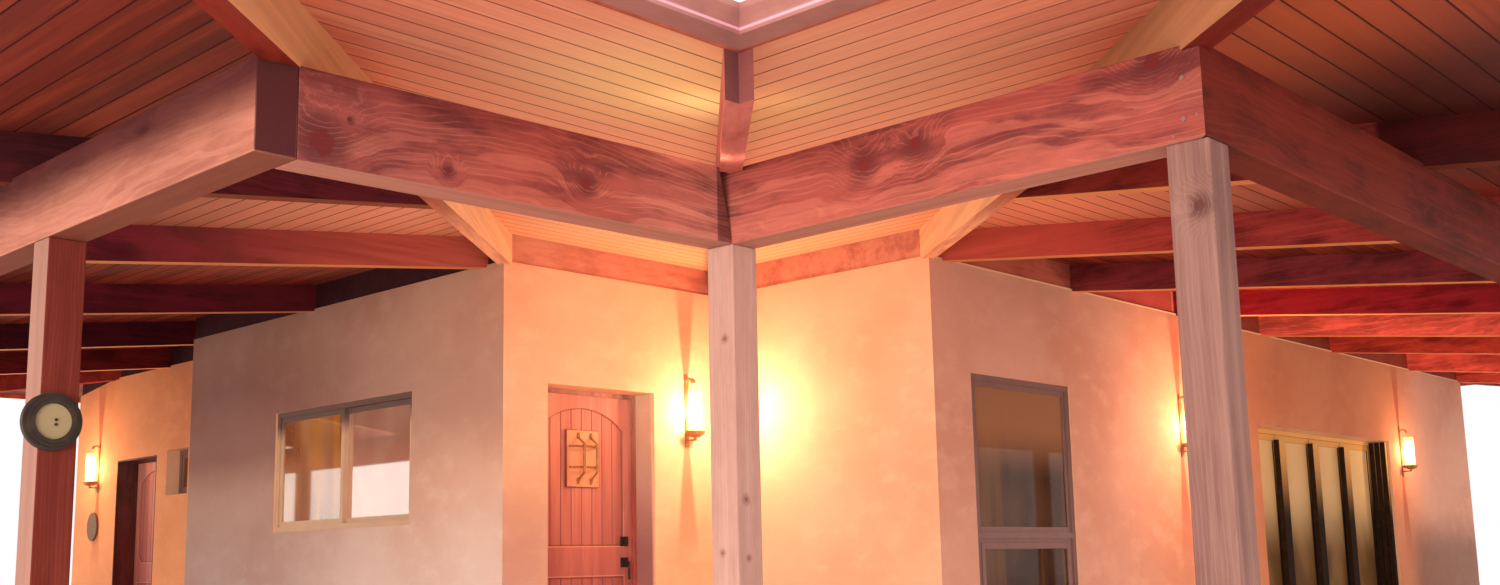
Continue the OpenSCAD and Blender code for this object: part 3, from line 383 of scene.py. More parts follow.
class Finish:
    """One material and its nodes. Each step gives the socket that the next one takes."""

    def __init__(self, name, roughness=0.6, metallic=0.0):
        self.material = bpy.data.materials.new(name)
        self.material.use_nodes = True
        self.tree = self.material.node_tree
        self.shader = self.tree.nodes["Principled BSDF"]
        self.shader.inputs["Roughness"].default_value = roughness
        self.shader.inputs["Metallic"].default_value = metallic
        self.place = self.step("ShaderNodeTexCoord", {}).outputs["Object"]

    def step(self, kind, inputs, **settings):
        node = self.tree.nodes.new(kind)
        for key, value in settings.items():
            setattr(node, key, value)
        for key, value in inputs.items():
            if isinstance(value, bpy.types.NodeSocket):
                self.tree.links.new(value, node.inputs[key])
            else:
                node.inputs[key].default_value = value
        return node

    def calc(self, operation, *values, clamp=False):
        inputs = dict(enumerate(values))
        return self.step("ShaderNodeMath", inputs, operation=operation, use_clamp=clamp).outputs[0]

    def less(self, first, second, clamp=False):
        return self.calc("SUBTRACT", first, second, clamp=clamp)

    def apart(self, first, second):
        return self.calc("ABSOLUTE", self.less(first, second))

    def product(self, first, *others):
        for other in others:
            first = self.calc("MULTIPLY", first, other)
        return first

    def scaled(self, at, sizes):
        inputs = {0: at, 1: sizes}
        return self.step("ShaderNodeVectorMath", inputs, operation="MULTIPLY").outputs[0]

    def turned(self, angle_y, angle_z):
        """The place with the grain turned to lie along X."""
        inputs = {"Vector": self.place, "Rotation": (0, angle_y, angle_z)}
        return self.step("ShaderNodeMapping", inputs).outputs[0]

    def noise(self, at, scale, detail=2.0, roughness=0.5):
        inputs = {"Vector": at, "Scale": scale, "Detail": detail, "Roughness": roughness}
        return self.step("ShaderNodeTexNoise", inputs).outputs["Fac"]

    def cells(self, at, scale):
        inputs = {"Vector": at, "Scale": scale, "Randomness": 1.0}
        return self.step("ShaderNodeTexVoronoi", inputs).outputs["Distance"]

    def chance(self, number):
        """A steady value from 0 to 1 for each number."""
        return self.step("ShaderNodeTexWhiteNoise", {"W": number}, noise_dimensions="1D").outputs["Value"]

    def parts(self, vector):
        return self.step("ShaderNodeSeparateXYZ", {0: vector}).outputs

    def joined(self, x, y, z):
        return self.step("ShaderNodeCombineXYZ", {0: x, 1: y, 2: z}).outputs[0]

    def vector(self, operation, *vectors):
        inputs = dict(enumerate(vectors))
        return self.step("ShaderNodeVectorMath", inputs, operation=operation).outputs["Value"]

    def length(self, vector):
        return self.vector("LENGTH", vector)

    def reach(self, axis):
        """How far along an axis a point of the house lies."""
        return self.vector("DOT_PRODUCT", self.place, axis)

    def away(self, point):
        """The distance from a point of the house."""
        return self.vector("DISTANCE", self.place, point)

    def facing(self, axis):
        """How far the surface faces along an axis, from -1 to 1."""
        return self.vector("DOT_PRODUCT", self.step("ShaderNodeNewGeometry", {}).outputs["Normal"], axis)

    def faces(self, axis):
        """1 where the surface faces along an axis, 0 where it doesn't."""
        return self.spread(self.facing(axis), 0.4, 0.7)

    def spread(self, value, low, high, start=0.0, end=1.0):
        """A value between two limits as a share between two ends, eased at both."""
        inputs = {"Value": value, "From Min": low, "From Max": high, "To Min": start, "To Max": end}
        return self.step("ShaderNodeMapRange", inputs, interpolation_type="SMOOTHSTEP").outputs["Result"]

    def mix(self, share, first, second, blend="MIX"):
        inputs = {0: share, 6: first, 7: second}
        return self.step("ShaderNodeMix", inputs, data_type="RGBA", blend_type=blend).outputs[2]

    def past(self, axis, place, soft=0.03):
        """1 past a place along an axis, 0 before it."""
        return self.spread(self.reach(axis), place, place + soft)

    def between(self, axis, low, high, soft=0.03):
        return self.less(self.past(axis, low, soft), self.past(axis, high, soft), clamp=True)

    def tinted(self, colour, tints):
        """The colour multiplied by each tint between its own two places along an axis."""
        for axis, low, high, soft, tint in tints:
            share = self.between(axis, low, high, soft)
            colour = self.mix(share, colour, (*tint, 1), "MULTIPLY")
        return colour

    def ripples(self, value, width):
        """Soft bands that repeat over a width."""
        wave = self.calc("SINE", self.product(value, 2 * math.pi / width))
        return self.calc("MULTIPLY_ADD", wave, 0.5, 0.5)

    def dress(self, colour, height=None, relief=0.002, strength=0.5, roughness=None):
        self.tree.links.new(colour, self.shader.inputs["Base Color"])
        if roughness is not None:
            self.tree.links.new(roughness, self.shader.inputs["Roughness"])
        if height is not None:
            inputs = {"Height": height, "Strength": strength, "Distance": relief}
            bump = self.step("ShaderNodeBump", inputs).outputs["Normal"]
            self.tree.links.new(bump, self.shader.inputs["Normal"])
        return self.material


# Finishes

def trowelled(f, tone, cloud, warm):
    """Slow clouds, trowel patches and a fine sandy grain."""
    clouds = f.noise(f.place, 0.9, 3.0)
    patches = f.noise(f.scaled(f.place, (1.0, 1.0, 1.7)), 4.2, 4.0, 0.6)
    sand = f.noise(f.place, 130.0, 2.0)
    colour = f.mix(f.spread(clouds, 0.35, 0.68), tone, cloud)
    colour = f.mix(f.spread(patches, 0.45, 0.75, 0.0, 0.5), colour, warm)
    colour = f.mix(f.spread(sand, 0.3, 0.7, 0.0, 0.12), colour, cloud)
    return colour, f.calc("MULTIPLY_ADD", patches, 3.0, f.product(sand, 0.25))


def adobe():
    """Hand-trowelled earth plaster with painted light and shade: each side of the house tinted as the light
    falls on it, painted shade in the front door's reveal that lightens towards its head, in the entry's
    corner and round the lanterns' brackets, and a painted highlight along the top of the south walls.
    """
    f = Finish("adobe_plaster", 0.85)
    colour, height = trowelled(f, seen(242, 196, 160), seen(230, 176, 140), seen(250, 210, 172))
    _, y, z = f.parts(f.place)
    west, entry = f.faces(-X), f.faces(-Y)
    beyond_step = f.past(Y, LEFT_STEP)
    left = f.product(west, f.less(f.past(-X, OUTSIDE), beyond_step, clamp=True))
    shade = f.calc("MULTIPLY_ADD", f.spread(y, 0.4, 3.4), 0.6, f.spread(z, 1.5, 2.1, 0.0, 0.55))
    shade = f.less(shade, f.spread(z, 2.1, 2.9, 0.0, 0.4))
    reveal = f.product(west, f.between(Y, 0.01, 0.32), f.between(X, -OUTSIDE, -0.1))
    south = f.product(entry, f.past(-Y, OUTSIDE))
    lamplit = f.less(f.past(X, 2.0, 2.5), f.past(X, GLASS_DOOR_END, 1.0))
    corner = f.product(entry, f.between(Y, -0.1, 0.1), f.past(-X, 1.3, 0.4), f.spread(z, 1.8, 1.0))
    # Painted light and shade, part by part of the walls
    for share, tint in (
        (south, SOUTH_TINT),
        (f.product(south, lamplit), SOUTH_FAR_TINT),
        (f.product(west, beyond_step), FAR_TINT),
        (left, LEFT_TINT),
        (f.product(f.calc("MINIMUM", shade, 1.0), left), LEFT_SHADE_TINT),
        (f.product(left, f.spread(z, 1.9, 0.9)), LEFT_FOOT_TINT),
        (reveal, REVEAL_TINT),
        (f.product(reveal, f.spread(z, 1.0, 2.1)), LIT_REVEAL_TINT),
        (corner, ENTRY_CORNER_TINT),
        (f.product(south, f.past(X, GLASS_DOOR_END, 0.6), f.spread(z, 1.5, 0.9)), SOUTH_FOOT_TINT),
    ):
        colour = f.mix(share, colour, (*tint, 1), "MULTIPLY")
    # Painted shadows of the lanterns' brackets and feet
    for lantern in LANTERNS:
        colour = f.mix(bracket_shadow(f, lantern), colour, (*BRACKET_SHADE, 1), "MULTIPLY")
    # A painted highlight along the top of the south walls
    rim = f.product(f.between(Z, WALL_TOP - 0.016, WALL_TOP + 0.01, 0.006), south, 0.8)
    return f.dress(f.mix(rim, colour, seen(255, 214, 160)), height, 0.004, 0.35)


def bracket_shadow(f, lantern):
    """The wedges of shade that a lantern's bracket and foot draw on the wall above and below it."""
    across = X if lantern.out == -Y else Y
    middle = Vector(lantern.place)
    aside = f.apart(f.reach(across), middle.dot(across))
    off = f.apart(f.reach(Z), middle.z)
    wedge = f.spread(f.calc("DIVIDE", aside, off), 0.14, 0.07)
    return f.product(wedge, f.spread(off, 0.17, 0.26), f.spread(off, 1.2, 0.5), f.faces(lantern.out))


def pale_card(name, tone, cloud, warm):
    f = Finish(name, 0.7)
    colour, height = trowelled(f, tone, cloud, warm)
    return f.dress(colour, height, 0.001, 0.2)


def knotted(f, along, depth, knots, spots):
    """The rings' depth drawn in round each knot, with the knots' cores and the dark round them."""
    uneven = f.noise(f.place, 38.0, 2.0)
    core, halo = 0.0, 0.0
    for place, size in knots:
        away = f.calc("MULTIPLY_ADD", uneven, size * 0.7, f.less(f.away(place), size * 0.35))
        depth = f.calc("ADD", depth, f.spread(away, size * 4.5, size * 0.5, 0.0, 0.06))
        core = f.calc("MAXIMUM", core, f.spread(away, size * 0.8, size * 0.6))
        halo = f.calc("MAXIMUM", halo, f.spread(away, size * 2.4, size * 0.8))
    if spots:
        cell = f.cells(f.scaled(along, (1.3, 4.0, 4.0)), 1.0)
        depth = f.calc("ADD", depth, f.spread(cell, spots * 4, 0.0, 0.0, 0.03))
        core = f.calc("MAXIMUM", core, f.spread(cell, spots, spots * 0.4))
        halo = f.calc("MAXIMUM", halo, f.spread(cell, spots * 2.0, spots * 0.6))
    return depth, core, halo


def timber(name, tones, turn=0.0, upright=False, pith=(0.4, 0.4), ring=0.016, knots=(),
           wild=0.05, spots=0.0, contrast=0.3, blotch=0.8, streaky=0.3, fibres=0.3, flames=0.0,
           faces=(), end=None, tints=(), zones=(), over=(), roughness=0.65, relief=0.002):
    """Sawn timber. Rings round a pith wander along the piece and close round its knots.

    The tints, the zones and the faces' tones, set by the way each face faces, paint light and shade. Tints
    come before the zones and the faces' tones, and the tints called over come after them."""
    dark, mid, light = tones
    f = Finish(name, roughness)
    f.shader.inputs["Specular IOR Level"].default_value = 0.12
    along = f.turned(QUARTER if upright else 0.0, -turn)
    wander = f.noise(f.scaled(along, (0.9, 3.0, 3.0)), 1.0, 3.0)
    fibre = f.noise(f.scaled(along, (3.0, 110.0, 110.0)), 1.0, 3.0, 0.6)
    streak = f.noise(f.scaled(along, (0.8, 22.0, 22.0)), 1.0, 3.0, 0.6)
    mottle = f.noise(f.scaled(along, (2.2, 6.0, 6.0)), 1.0, 5.0, 0.65)
    _, across, height = f.parts(along)
    from_pith = f.joined(0.0, f.less(across, pith[0]), f.less(height, pith[1]))
    depth = f.calc("MULTIPLY_ADD", wander, wild * 4, f.length(from_pith))
    depth, core, halo = knotted(f, along, depth, knots, spots)
    rings = f.ripples(depth, ring)
    lines = f.product(f.spread(rings, 0.74, 1.0), f.spread(streak, 0.34, 0.56))
    colour = f.mix(f.spread(mottle, 0.4, 0.64, 0.0, blotch), mid, dark)
    if flames:
        flame = f.noise(f.joined(f.product(wander, 2.0), f.product(depth, 13.0), mottle), 1.0)
        colour = f.mix(f.spread(flame, 0.5, 0.54, 0.0, flames), colour, light)
    colour = f.mix(f.spread(streak, 0.45, 0.7, 0.0, streaky), colour, light)
    colour = f.mix(f.spread(fibre, 0.5, 0.72, 0.0, fibres), colour, dark)
    if knots or spots:
        colour = f.mix(f.product(halo, 0.85), colour, dark)
    colour = f.mix(f.product(lines, contrast), colour, light)
    if knots or spots:
        colour = f.mix(f.product(core, 0.85), colour, deeper(mid, 0.5, 0.3, 0.34))
    # Tints and zones of painted light and shade
    colour = f.tinted(colour, tints)
    for place, inner, outer, most, tone in zones:
        tone = f.mix(f.spread(streak, 0.35, 0.7, 0.0, 0.4), tone, mid)
        colour = f.mix(f.spread(f.away(place), outer, inner, 0.0, most), colour, tone)
    # Painted light and shade on each face by the way it faces, streaked with grain
    for axis, tone, own_tints in faces:
        wear_and_painted_light = f.mix(f.spread(streak, 0.35, 0.7), tone, deeper(tone, 0.8, 0.8, 0.8))
        share = f.spread(f.facing(axis), 0.85, 0.95, 0.0, 0.9)
        colour = f.mix(share, colour, f.tinted(wear_and_painted_light, own_tints))
    if end:
        ends = f.calc("ABSOLUTE", f.facing(Matrix.Rotation(turn, 3, "Z") @ X))
        colour = f.mix(f.spread(ends, 0.85, 0.97), colour, end)
    grain = f.calc("MULTIPLY_ADD", rings, 0.3, f.product(fibre, 0.8))
    return f.dress(f.tinted(colour, over), grain, relief, 0.3)


def door_wood(name, node, across, peek=(-1.0, -1.0)):
    """Varnished door boards: grooves in the sunk panels, painted shade inside the panels' edges and round
    the speakeasy's board, a painted highlight just outside the edges low on the door, painted light that
    grows from the foot to the top, and a plain frame round them.

    A door without a speakeasy has a board of less than no size."""
    dark, mid, light = DOOR_TONES
    f = Finish(name, 0.42)
    low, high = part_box(node)
    side = f.less(f.reach(across), ((low + high) / 2).dot(across))
    z = f.less(f.reach(Z), low.z)
    half = (high - low).dot(across) / 2 - STILE_W
    arc = (half * half + ARCH_RISE * ARCH_RISE) / (2 * ARCH_RISE)
    from_arc = f.length(f.joined(side, f.less(z, PANEL_TOP - arc), 0.0))
    past_side = f.less(f.calc("ABSOLUTE", side), half)
    upper = f.calc("MAXIMUM", f.less(RAIL_TOP, z), f.less(from_arc, arc))
    lower = f.calc("MAXIMUM", f.less(z, RAIL_LOW), f.less(BOTTOM_RAIL, z))
    edge = f.calc("MAXIMUM", past_side, f.calc("MINIMUM", upper, lower))
    sunk = f.spread(edge, 0.002, -0.002)
    groove = f.spread(f.calc("PINGPONG", side, PLANK_W / 2), 0.0065, 0.003)
    past_width = f.less(f.calc("ABSOLUTE", side), peek[0] / 2)
    past_height = f.less(f.apart(z, PEEK_Z), peek[1] / 2)
    off_board = f.calc("MAXIMUM", past_width, past_height)
    sunk = f.product(sunk, f.spread(off_board, -0.001, 0.001))
    plank = f.calc("FLOOR", f.calc("DIVIDE", side, PLANK_W))
    own = f.chance(plank)
    grain = f.noise(f.joined(f.product(side, 70.0), f.product(z, 2.5), own), 1.0, 3.0)
    broad = f.noise(f.joined(f.product(side, 9.0), f.product(z, 0.9), own), 1.0, 2.0)
    colour = f.mix(f.spread(broad, 0.35, 0.7), mid, light)
    colour = f.mix(f.spread(grain, 0.5, 0.75, 0.0, 0.4), colour, dark)
    colour = f.mix(f.product(f.spread(own, 0.2, 1.0, 0.0, 0.3), sunk), colour, dark)
    deep = deeper(dark, 0.4, 0.4, 0.4)
    # Painted shade inside the sunk panels' edges
    sunk_edge_shade = f.less(f.spread(edge, -0.011, -0.007), f.spread(edge, -0.003, 0.0))
    lines = f.calc("MAXIMUM", f.product(groove, sunk), f.product(sunk_edge_shade, 0.9))
    # A painted shadow round the speakeasy's board
    board_shadow = f.spread(f.apart(off_board, 0.001), 0.006, 0.002)
    colour = f.mix(f.product(lines, 0.6), colour, deep)
    colour = f.mix(f.spread(off_board, 0.0, -0.004, 0.0, 0.45), colour, seen(236, 150, 104))
    colour = f.mix(f.product(board_shadow, 0.6), colour, deep)
    # A painted highlight just outside the panels' edges, low on the door
    low_edge_highlight = f.less(f.spread(edge, 0.0, 0.003), f.spread(edge, 0.008, 0.011))
    low_edge_highlight = f.product(low_edge_highlight, f.spread(z, 1.3, 1.2, 0.0, 0.55))
    colour = f.mix(low_edge_highlight, colour, seen(250, 170, 130))
    # Painted light, rising from the door's foot to its top
    lit = f.spread(z, 0.5, 2.0)
    colour = f.mix(1.0, colour, f.mix(lit, (*DOOR_FOOT_TINT, 1), (*DOOR_TOP_TINT, 1)), "MULTIPLY")
    return f.dress(colour, grain, 0.001, 0.3)


def ceiling_boards(name, tones, contrast, zones=()):
    """Roof boards seen from below: each board its own shade, grain along it, dark joints."""
    dark, mid, light = tones
    f = Finish(name, 0.6)
    f.shader.inputs["Specular IOR Level"].default_value = 0.2
    x, y, _ = f.parts(f.place)
    slope_x = f.calc("ABSOLUTE", f.facing(X))
    slope_y = f.calc("ABSOLUTE", f.facing(Y))
    runs_y = f.calc("GREATER_THAN", slope_x, slope_y)
    swap = f.less(1.0, runs_y)
    across = f.calc("ADD", f.product(x, runs_y), f.product(y, swap))
    along = f.calc("ADD", f.product(y, runs_y), f.product(x, swap))
    row = f.calc("DIVIDE", across, BOARD_W)
    board = f.calc("FLOOR", row)
    own = f.chance(board)
    length = f.calc("MULTIPLY_ADD", own, 9.0, along)
    grain = f.noise(f.joined(f.product(length, 1.3), f.product(across, 34.0), board), 1.0, 3.0, 0.6)
    streak = f.noise(f.joined(f.product(length, 0.7), f.product(across, 9.0), board), 1.0, 3.0, 0.6)
    knot = f.cells(f.joined(f.product(length, 1.1), f.product(across, 5.5), own), 1.0)
    joint = f.calc("PINGPONG", row, 0.5)
    colour = f.mix(f.spread(own, 0.0, 1.0, 0.0, contrast), mid, dark)
    colour = f.mix(f.spread(streak, 0.45, 0.72, 0.0, 0.6), colour, light)
    colour = f.mix(f.spread(grain, 0.46, 0.72, 0.0, 0.6), colour, dark)
    core = deeper(dark, 0.4, 0.25, 0.25)
    colour = f.mix(f.spread(knot, 0.2, 0.08, 0.0, 0.5), colour, dark)
    colour = f.mix(f.spread(knot, 0.1, 0.06, 0.0, 0.8), colour, core)
    # Zones of painted light and shade
    for place, inner, outer, most, tone in zones:
        share = f.spread(f.away(place), outer, inner, 0.0, most)
        colour = f.mix(share, colour, f.mix(0.2, tone, colour, "MULTIPLY"))
    colour = f.mix(f.spread(joint, 0.055, 0.02, 0.0, 0.8), colour, core)
    return f.dress(colour, grain, 0.002, 0.4)


def coated_metal(name, tone, wear_and_painted_light, roughness, metallic, scale=3.0, bands=(), shine=0.25, lit=None):
    """Painted or bronzed metal with slight clouding and rub marks. Its level bands of painted light and
    shade may show only on the faces that are lit along an axis."""
    f = Finish(name, roughness, metallic)
    f.shader.inputs["Specular IOR Level"].default_value = shine
    clouds = f.noise(f.place, scale, 4.0, 0.6)
    fine = f.noise(f.place, 60.0, 2.0)
    colour = f.mix(f.spread(clouds, 0.42, 0.7, 0.0, 0.8), tone, wear_and_painted_light)
    for low, high, soft, band in bands:
        share = f.product(f.between(Z, low, high, soft), 0.85)
        if lit is not None:
            share = f.product(share, f.spread(f.facing(lit), 0.5, 0.9))
        colour = f.mix(share, colour, band)
    gloss = f.spread(clouds, 0.3, 0.7, roughness - 0.08, roughness + 0.1)
    return f.dress(colour, fine, 0.0008, 0.3, gloss)


def concrete(name, tone, cloud):
    f = Finish(name, 0.8)
    clouds = f.noise(f.place, 2.5, 5.0, 0.6)
    pores = f.cells(f.place, 90.0)
    colour = f.mix(f.spread(clouds, 0.35, 0.7), tone, cloud)
    return f.dress(colour, f.calc("MULTIPLY_ADD", pores, 0.4, clouds), 0.002, 0.3)


def pane(name, shadow, glow, ior, stripes=0.0, upper=None):
    """Window glass whose colour paints a dim room behind it, with soft upright folds of light and a brighter
    upper part: painted light and reflection.
    """
    f = Finish(name, 0.03)
    _, _, z = f.parts(f.place)
    ripple = f.noise(f.scaled(f.place, (1.0, 1.0, 0.6)), 3.0, 1.0)
    folds = f.noise(f.scaled(f.place, (7.0, 7.0, 0.25)), 1.0, 2.0)
    colour = f.mix(f.spread(ripple, 0.35, 0.7), shadow, glow)
    colour = f.mix(f.spread(folds, 0.5, 0.62, 0.0, stripes), colour, seen(222, 148, 54))
    if upper:
        low, high, tone = upper
        colour = f.mix(f.spread(z, low, high, 0.0, 0.85), colour, tone)
    f.shader.inputs["IOR"].default_value = ior
    f.shader.inputs["Alpha"].default_value = 0.9
    return f.dress(colour, ripple, 0.002, 0.05)


def lit_glass(name):
    """Frosted lantern glass, white round its bulb and amber towards its ends."""
    f = Finish(name, 0.3)
    nearest = BEYOND
    for lantern in LANTERNS:
        nearest = f.calc("MINIMUM", nearest, f.away(lantern.place))
    colour = f.mix(f.spread(nearest, 0.06, 0.17), seen(255, 244, 214), seen(250, 178, 96))
    f.tree.links.new(colour, f.shader.inputs["Emission Color"])
    f.shader.inputs["Emission Strength"].default_value = 2.6
    f.shader.inputs["Alpha"].default_value = 0.45
    return f.dress(colour)


# Pieces

def piece(name, bm, finish, body="house", stands_for=()):
    """A new piece of a body, in the place of the CAD nodes that it stands for."""
    mesh = bpy.data.meshes.new(name)
    bm.to_mesh(mesh)
    bm.free()
    mesh.materials.append(finish)
    obj = added(name, mesh)
    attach(obj, body)
    if stands_for:
        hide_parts(*stands_for)
    return obj


def copy_of(node):
    """A merged copy of a CAD node's mesh, its flat faces made whole."""
    bm = bmesh.new()
    bm.from_mesh(nodes[node].data)
    bmesh.ops.remove_doubles(bm, verts=bm.verts, dist=1e-5)
    bmesh.ops.dissolve_limit(bm, angle_limit=math.radians(0.3), verts=bm.verts, edges=bm.edges)
    return bm


def eased(node, width, finish):
    """A timber with its sawn arrises rounded, as wear rounds them."""
    bm = copy_of(node)
    sharp = [e for e in bm.edges if len(e.link_faces) == 2 and e.calc_face_angle() > math.radians(30)
             and e.is_convex]
    bmesh.ops.bevel(bm, geom=sharp, offset=width, segments=2, profile=0.5, affect="EDGES",
                    material=-1, clamp_overlap=True)
    obj = piece(node + "_eased", bm, finish, stands_for=(node,))
    for face in obj.data.polygons:
        face.use_smooth = False


def slope_faces(bm, axis, down):
    """The faces of the slopes that rise along an axis, on their undersides or their tops."""
    side = -1 if down else 1
    return [f for f in bm.faces if f.normal.z * side > 0.5 and abs(f.normal.dot(axis)) > 0.05]


def cut_across(bm, axis, place, slope_axis, down):
    """A cut through the faces of some slopes, and the vertices on it."""
    faces = slope_faces(bm, slope_axis, down)
    edges = {e for f in faces for e in f.edges}
    verts = {v for f in faces for v in f.verts}
    cut = bmesh.ops.bisect_plane(bm, geom=[*verts, *edges, *faces], plane_co=axis * place, plane_no=axis)
    return [v for v in cut["geom_cut"] if isinstance(v, bmesh.types.BMVert)]


def steps(low, high, pitch):
    """The multiples of a pitch that lie between two places."""
    first = math.ceil((low + 0.01) / pitch)
    last = math.floor((high - 0.01) / pitch)
    return [k * pitch for k in range(first, last + 1)]


def board_deck(node, finish, slopes):
    """The boards of a slope, with a V joint between each two."""
    bm = copy_of(node)
    low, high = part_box(node)
    for axis in slopes:
        for place in steps(low.dot(axis), high.dot(axis), BOARD_W):
            cut_across(bm, axis, place - BOARD_JOINT / 2, axis, True)
            cut_across(bm, axis, place + BOARD_JOINT / 2, axis, True)
            for vert in cut_across(bm, axis, place, axis, True):
                vert.co.z += BOARD_JOINT
    bm.normal_update()
    piece(node + "_boards", bm, finish, stands_for=(node,))


def window_panes(name, finish, low, high):
    """The panes of the windows that lie between two corners."""
    bm = copy_of("window_glass")
    far = [f for f in bm.faces
           if not all(low[i] < f.calc_center_median()[i] < high[i] for i in range(3))]
    bmesh.ops.delete(bm, geom=far, context="FACES")
    piece(name, bm, finish, stands_for=("window_glass",))


def seamed_roof(finish):
    """The metal covering, with standing seams that run down every slope from where they are laid flat."""
    bm = copy_of("roof_covering")
    low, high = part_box("roof_covering")
    flat = high.z - SEAM_H - 0.002
    whole = [*bm.verts, *bm.edges, *bm.faces]
    bmesh.ops.bisect_plane(bm, geom=whole, plane_co=Z * flat, plane_no=Z)
    seams = []
    for slope, axis in ((X, Y), (Y, X)):
        places = steps(low.dot(axis), high.dot(axis), SEAM_PITCH)
        for place in places:
            cut_across(bm, axis, place - SEAM_W / 2, slope, False)
            cut_across(bm, axis, place + SEAM_W / 2, slope, False)
        for face in slope_faces(bm, slope, False):
            middle = face.calc_center_median()
            along = middle.dot(axis)
            if middle.z < flat and any(abs(along - place) < SEAM_W / 2 for place in places):
                seams.append(face)
    raised = bmesh.ops.extrude_face_region(bm, geom=seams)
    for vert in raised["geom"]:
        if isinstance(vert, bmesh.types.BMVert):
            vert.co.z += SEAM_H
    bmesh.ops.delete(bm, geom=seams, context="FACES_ONLY")
    bmesh.ops.recalc_face_normals(bm, faces=bm.faces)
    piece("roof_covering_seams", bm, finish, stands_for=("roof_covering",))


def bowed_bar(bm, start, end, radius, bow):
    """A round bar between two points that bows out of the wall between its ends."""
    turn = (end - start).to_track_quat("Z", "Y").to_matrix()
    made = bmesh.ops.create_circle(bm, cap_ends=False, segments=BAR_SIDES, radius=radius)
    loop = list({e for v in made["verts"] for e in v.link_edges})
    first = loop
    verts = made["verts"]
    for k in range(BAR_RINGS + 1):
        share = k / BAR_RINGS
        climb = min(1.0, min(share, 1 - share) / 0.2)
        rise = climb * climb * (3 - 2 * climb)
        centre = start.lerp(end, share) - Y * bow * rise
        for n, vert in enumerate(verts):
            angle = 2 * math.pi * n / BAR_SIDES
            vert.co = centre + turn @ Vector((math.cos(angle), math.sin(angle), 0)) * radius
        if k < BAR_RINGS:
            ring = bmesh.ops.extrude_edge_only(bm, edges=loop)["geom"]
            grown = [g for g in ring if isinstance(g, bmesh.types.BMVert)]
            loop = [g for g in ring if isinstance(g, bmesh.types.BMEdge)
                    and all(v in grown for v in g.verts)]
            verts = in_order(verts, grown)
    bmesh.ops.edgeloop_fill(bm, edges=first)
    bmesh.ops.edgeloop_fill(bm, edges=loop)


def in_order(before, grown):
    """The new ring's vertices in the order of the ring that they grew from."""
    above = {}
    for vert in grown:
        for edge in vert.link_edges:
            above[edge.other_vert(vert)] = vert
    return [above[vert] for vert in before]


def rounded_block(bm, low, high, edge):
    """A block between two corners, its edges rounded."""
    made = bmesh.ops.create_cube(bm, size=1.0)
    size = high - low
    for vert in made["verts"]:
        vert.co = Vector(low[i] + (vert.co[i] + 0.5) * size[i] for i in range(3))
    edges = list({e for v in made["verts"] for e in v.link_edges})
    bmesh.ops.bevel(bm, geom=edges, offset=edge, segments=2, profile=0.5, affect="EDGES",
                    material=-1)


def disc(bm, centre, axis, radius, thick, segments, edge=0.0):
    """A short round block across an axis, its rims rounded where it has an edge."""
    made = bmesh.ops.create_cone(bm, cap_ends=True, segments=segments, radius1=radius, radius2=radius,
                                 depth=thick)
    turn = axis.to_track_quat("Z", "Y").to_matrix().to_4x4()
    verts = [v for v in made["verts"] if v.is_valid]
    bmesh.ops.transform(bm, matrix=Matrix.Translation(centre) @ turn, verts=verts)
    if edge:
        rims = [e for e in {e for v in verts for e in v.link_edges}
                if abs(e.calc_length() - 2 * radius * math.sin(math.pi / segments)) < radius * 0.01]
        bmesh.ops.bevel(bm, geom=rims, offset=edge, segments=2, profile=0.5, affect="EDGES", material=-1)


def speakeasy(finish):
    """Two upright bars and two straps that bow out over the board in the front door."""
    low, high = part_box("front_door_leaf")
    middle = Vector(((low.x + high.x) / 2, low.y, low.z + PEEK_Z))
    back = middle - Y * PEEK_OFF
    bm = bmesh.new()
    for x in PEEK_BARS:
        foot, head = back + X * x - Z * PEEK_BAR_HALF, back + X * x + Z * PEEK_BAR_HALF
        bowed_bar(bm, foot, head, PEEK_BAR_R, PEEK_BAR_BOW)
        for z, way in ((-PEEK_BAR_HALF, -1), (PEEK_BAR_HALF, 1)):
            end = middle + X * x + Z * z
            rounded_block(bm, end - PEEK_FOOT, end + PEEK_FOOT - Y * PEEK_FOOT.y, 0.003)
            disc(bm, end - Y * RIVET_OFF + Z * way * RIVET_PAST, -Y, RIVET_R, RIVET_H, 16, 0.002)
    for z in PEEK_STRAPS:
        left, right = (back + X * x + Z * z for x in PEEK_STRAP_ENDS)
        bowed_bar(bm, left, right, PEEK_STRAP_R, PEEK_STRAP_BOW)
    bmesh.ops.recalc_face_normals(bm, faces=bm.faces)
    piece("speakeasy_bars", bm, finish, "front_door")


def beam_fixings(finish):
    """Bolt heads and nail heads where the right inner beam meets its corner."""
    bm = bmesh.new()
    for y, z in BOLTS:
        disc(bm, Vector((BEAM_FACE - 0.003, y, z)), -X, BOLT_R, BOLT_H, 16, 0.001)
    for y, z in NAILS:
        disc(bm, Vector((BEAM_FACE - 0.001, y, z)), -X, NAIL_R, NAIL_H, 12)
    piece("beam_fixings", bm, finish)


def lower_sash(finish):
    """The sash round the lower light of the right window."""
    bm = bmesh.new()
    low, high = SASH_LOW, SASH_HIGH
    left, right = low.x + SASH_STILE, high.x - SASH_STILE
    for start, end, foot, head in ((low.x, left, low.z, high.z), (right, high.x, low.z, high.z),
                                   (left + SASH_GAP, right - SASH_GAP, high.z - SASH_RAIL, high.z),
                                   (left + SASH_GAP, right - SASH_GAP, low.z, low.z + SASH_RAIL)):
        rounded_block(bm, Vector((start, low.y, foot)), Vector((end, high.y, head)), 0.003)
    piece("lower_sash", bm, finish)


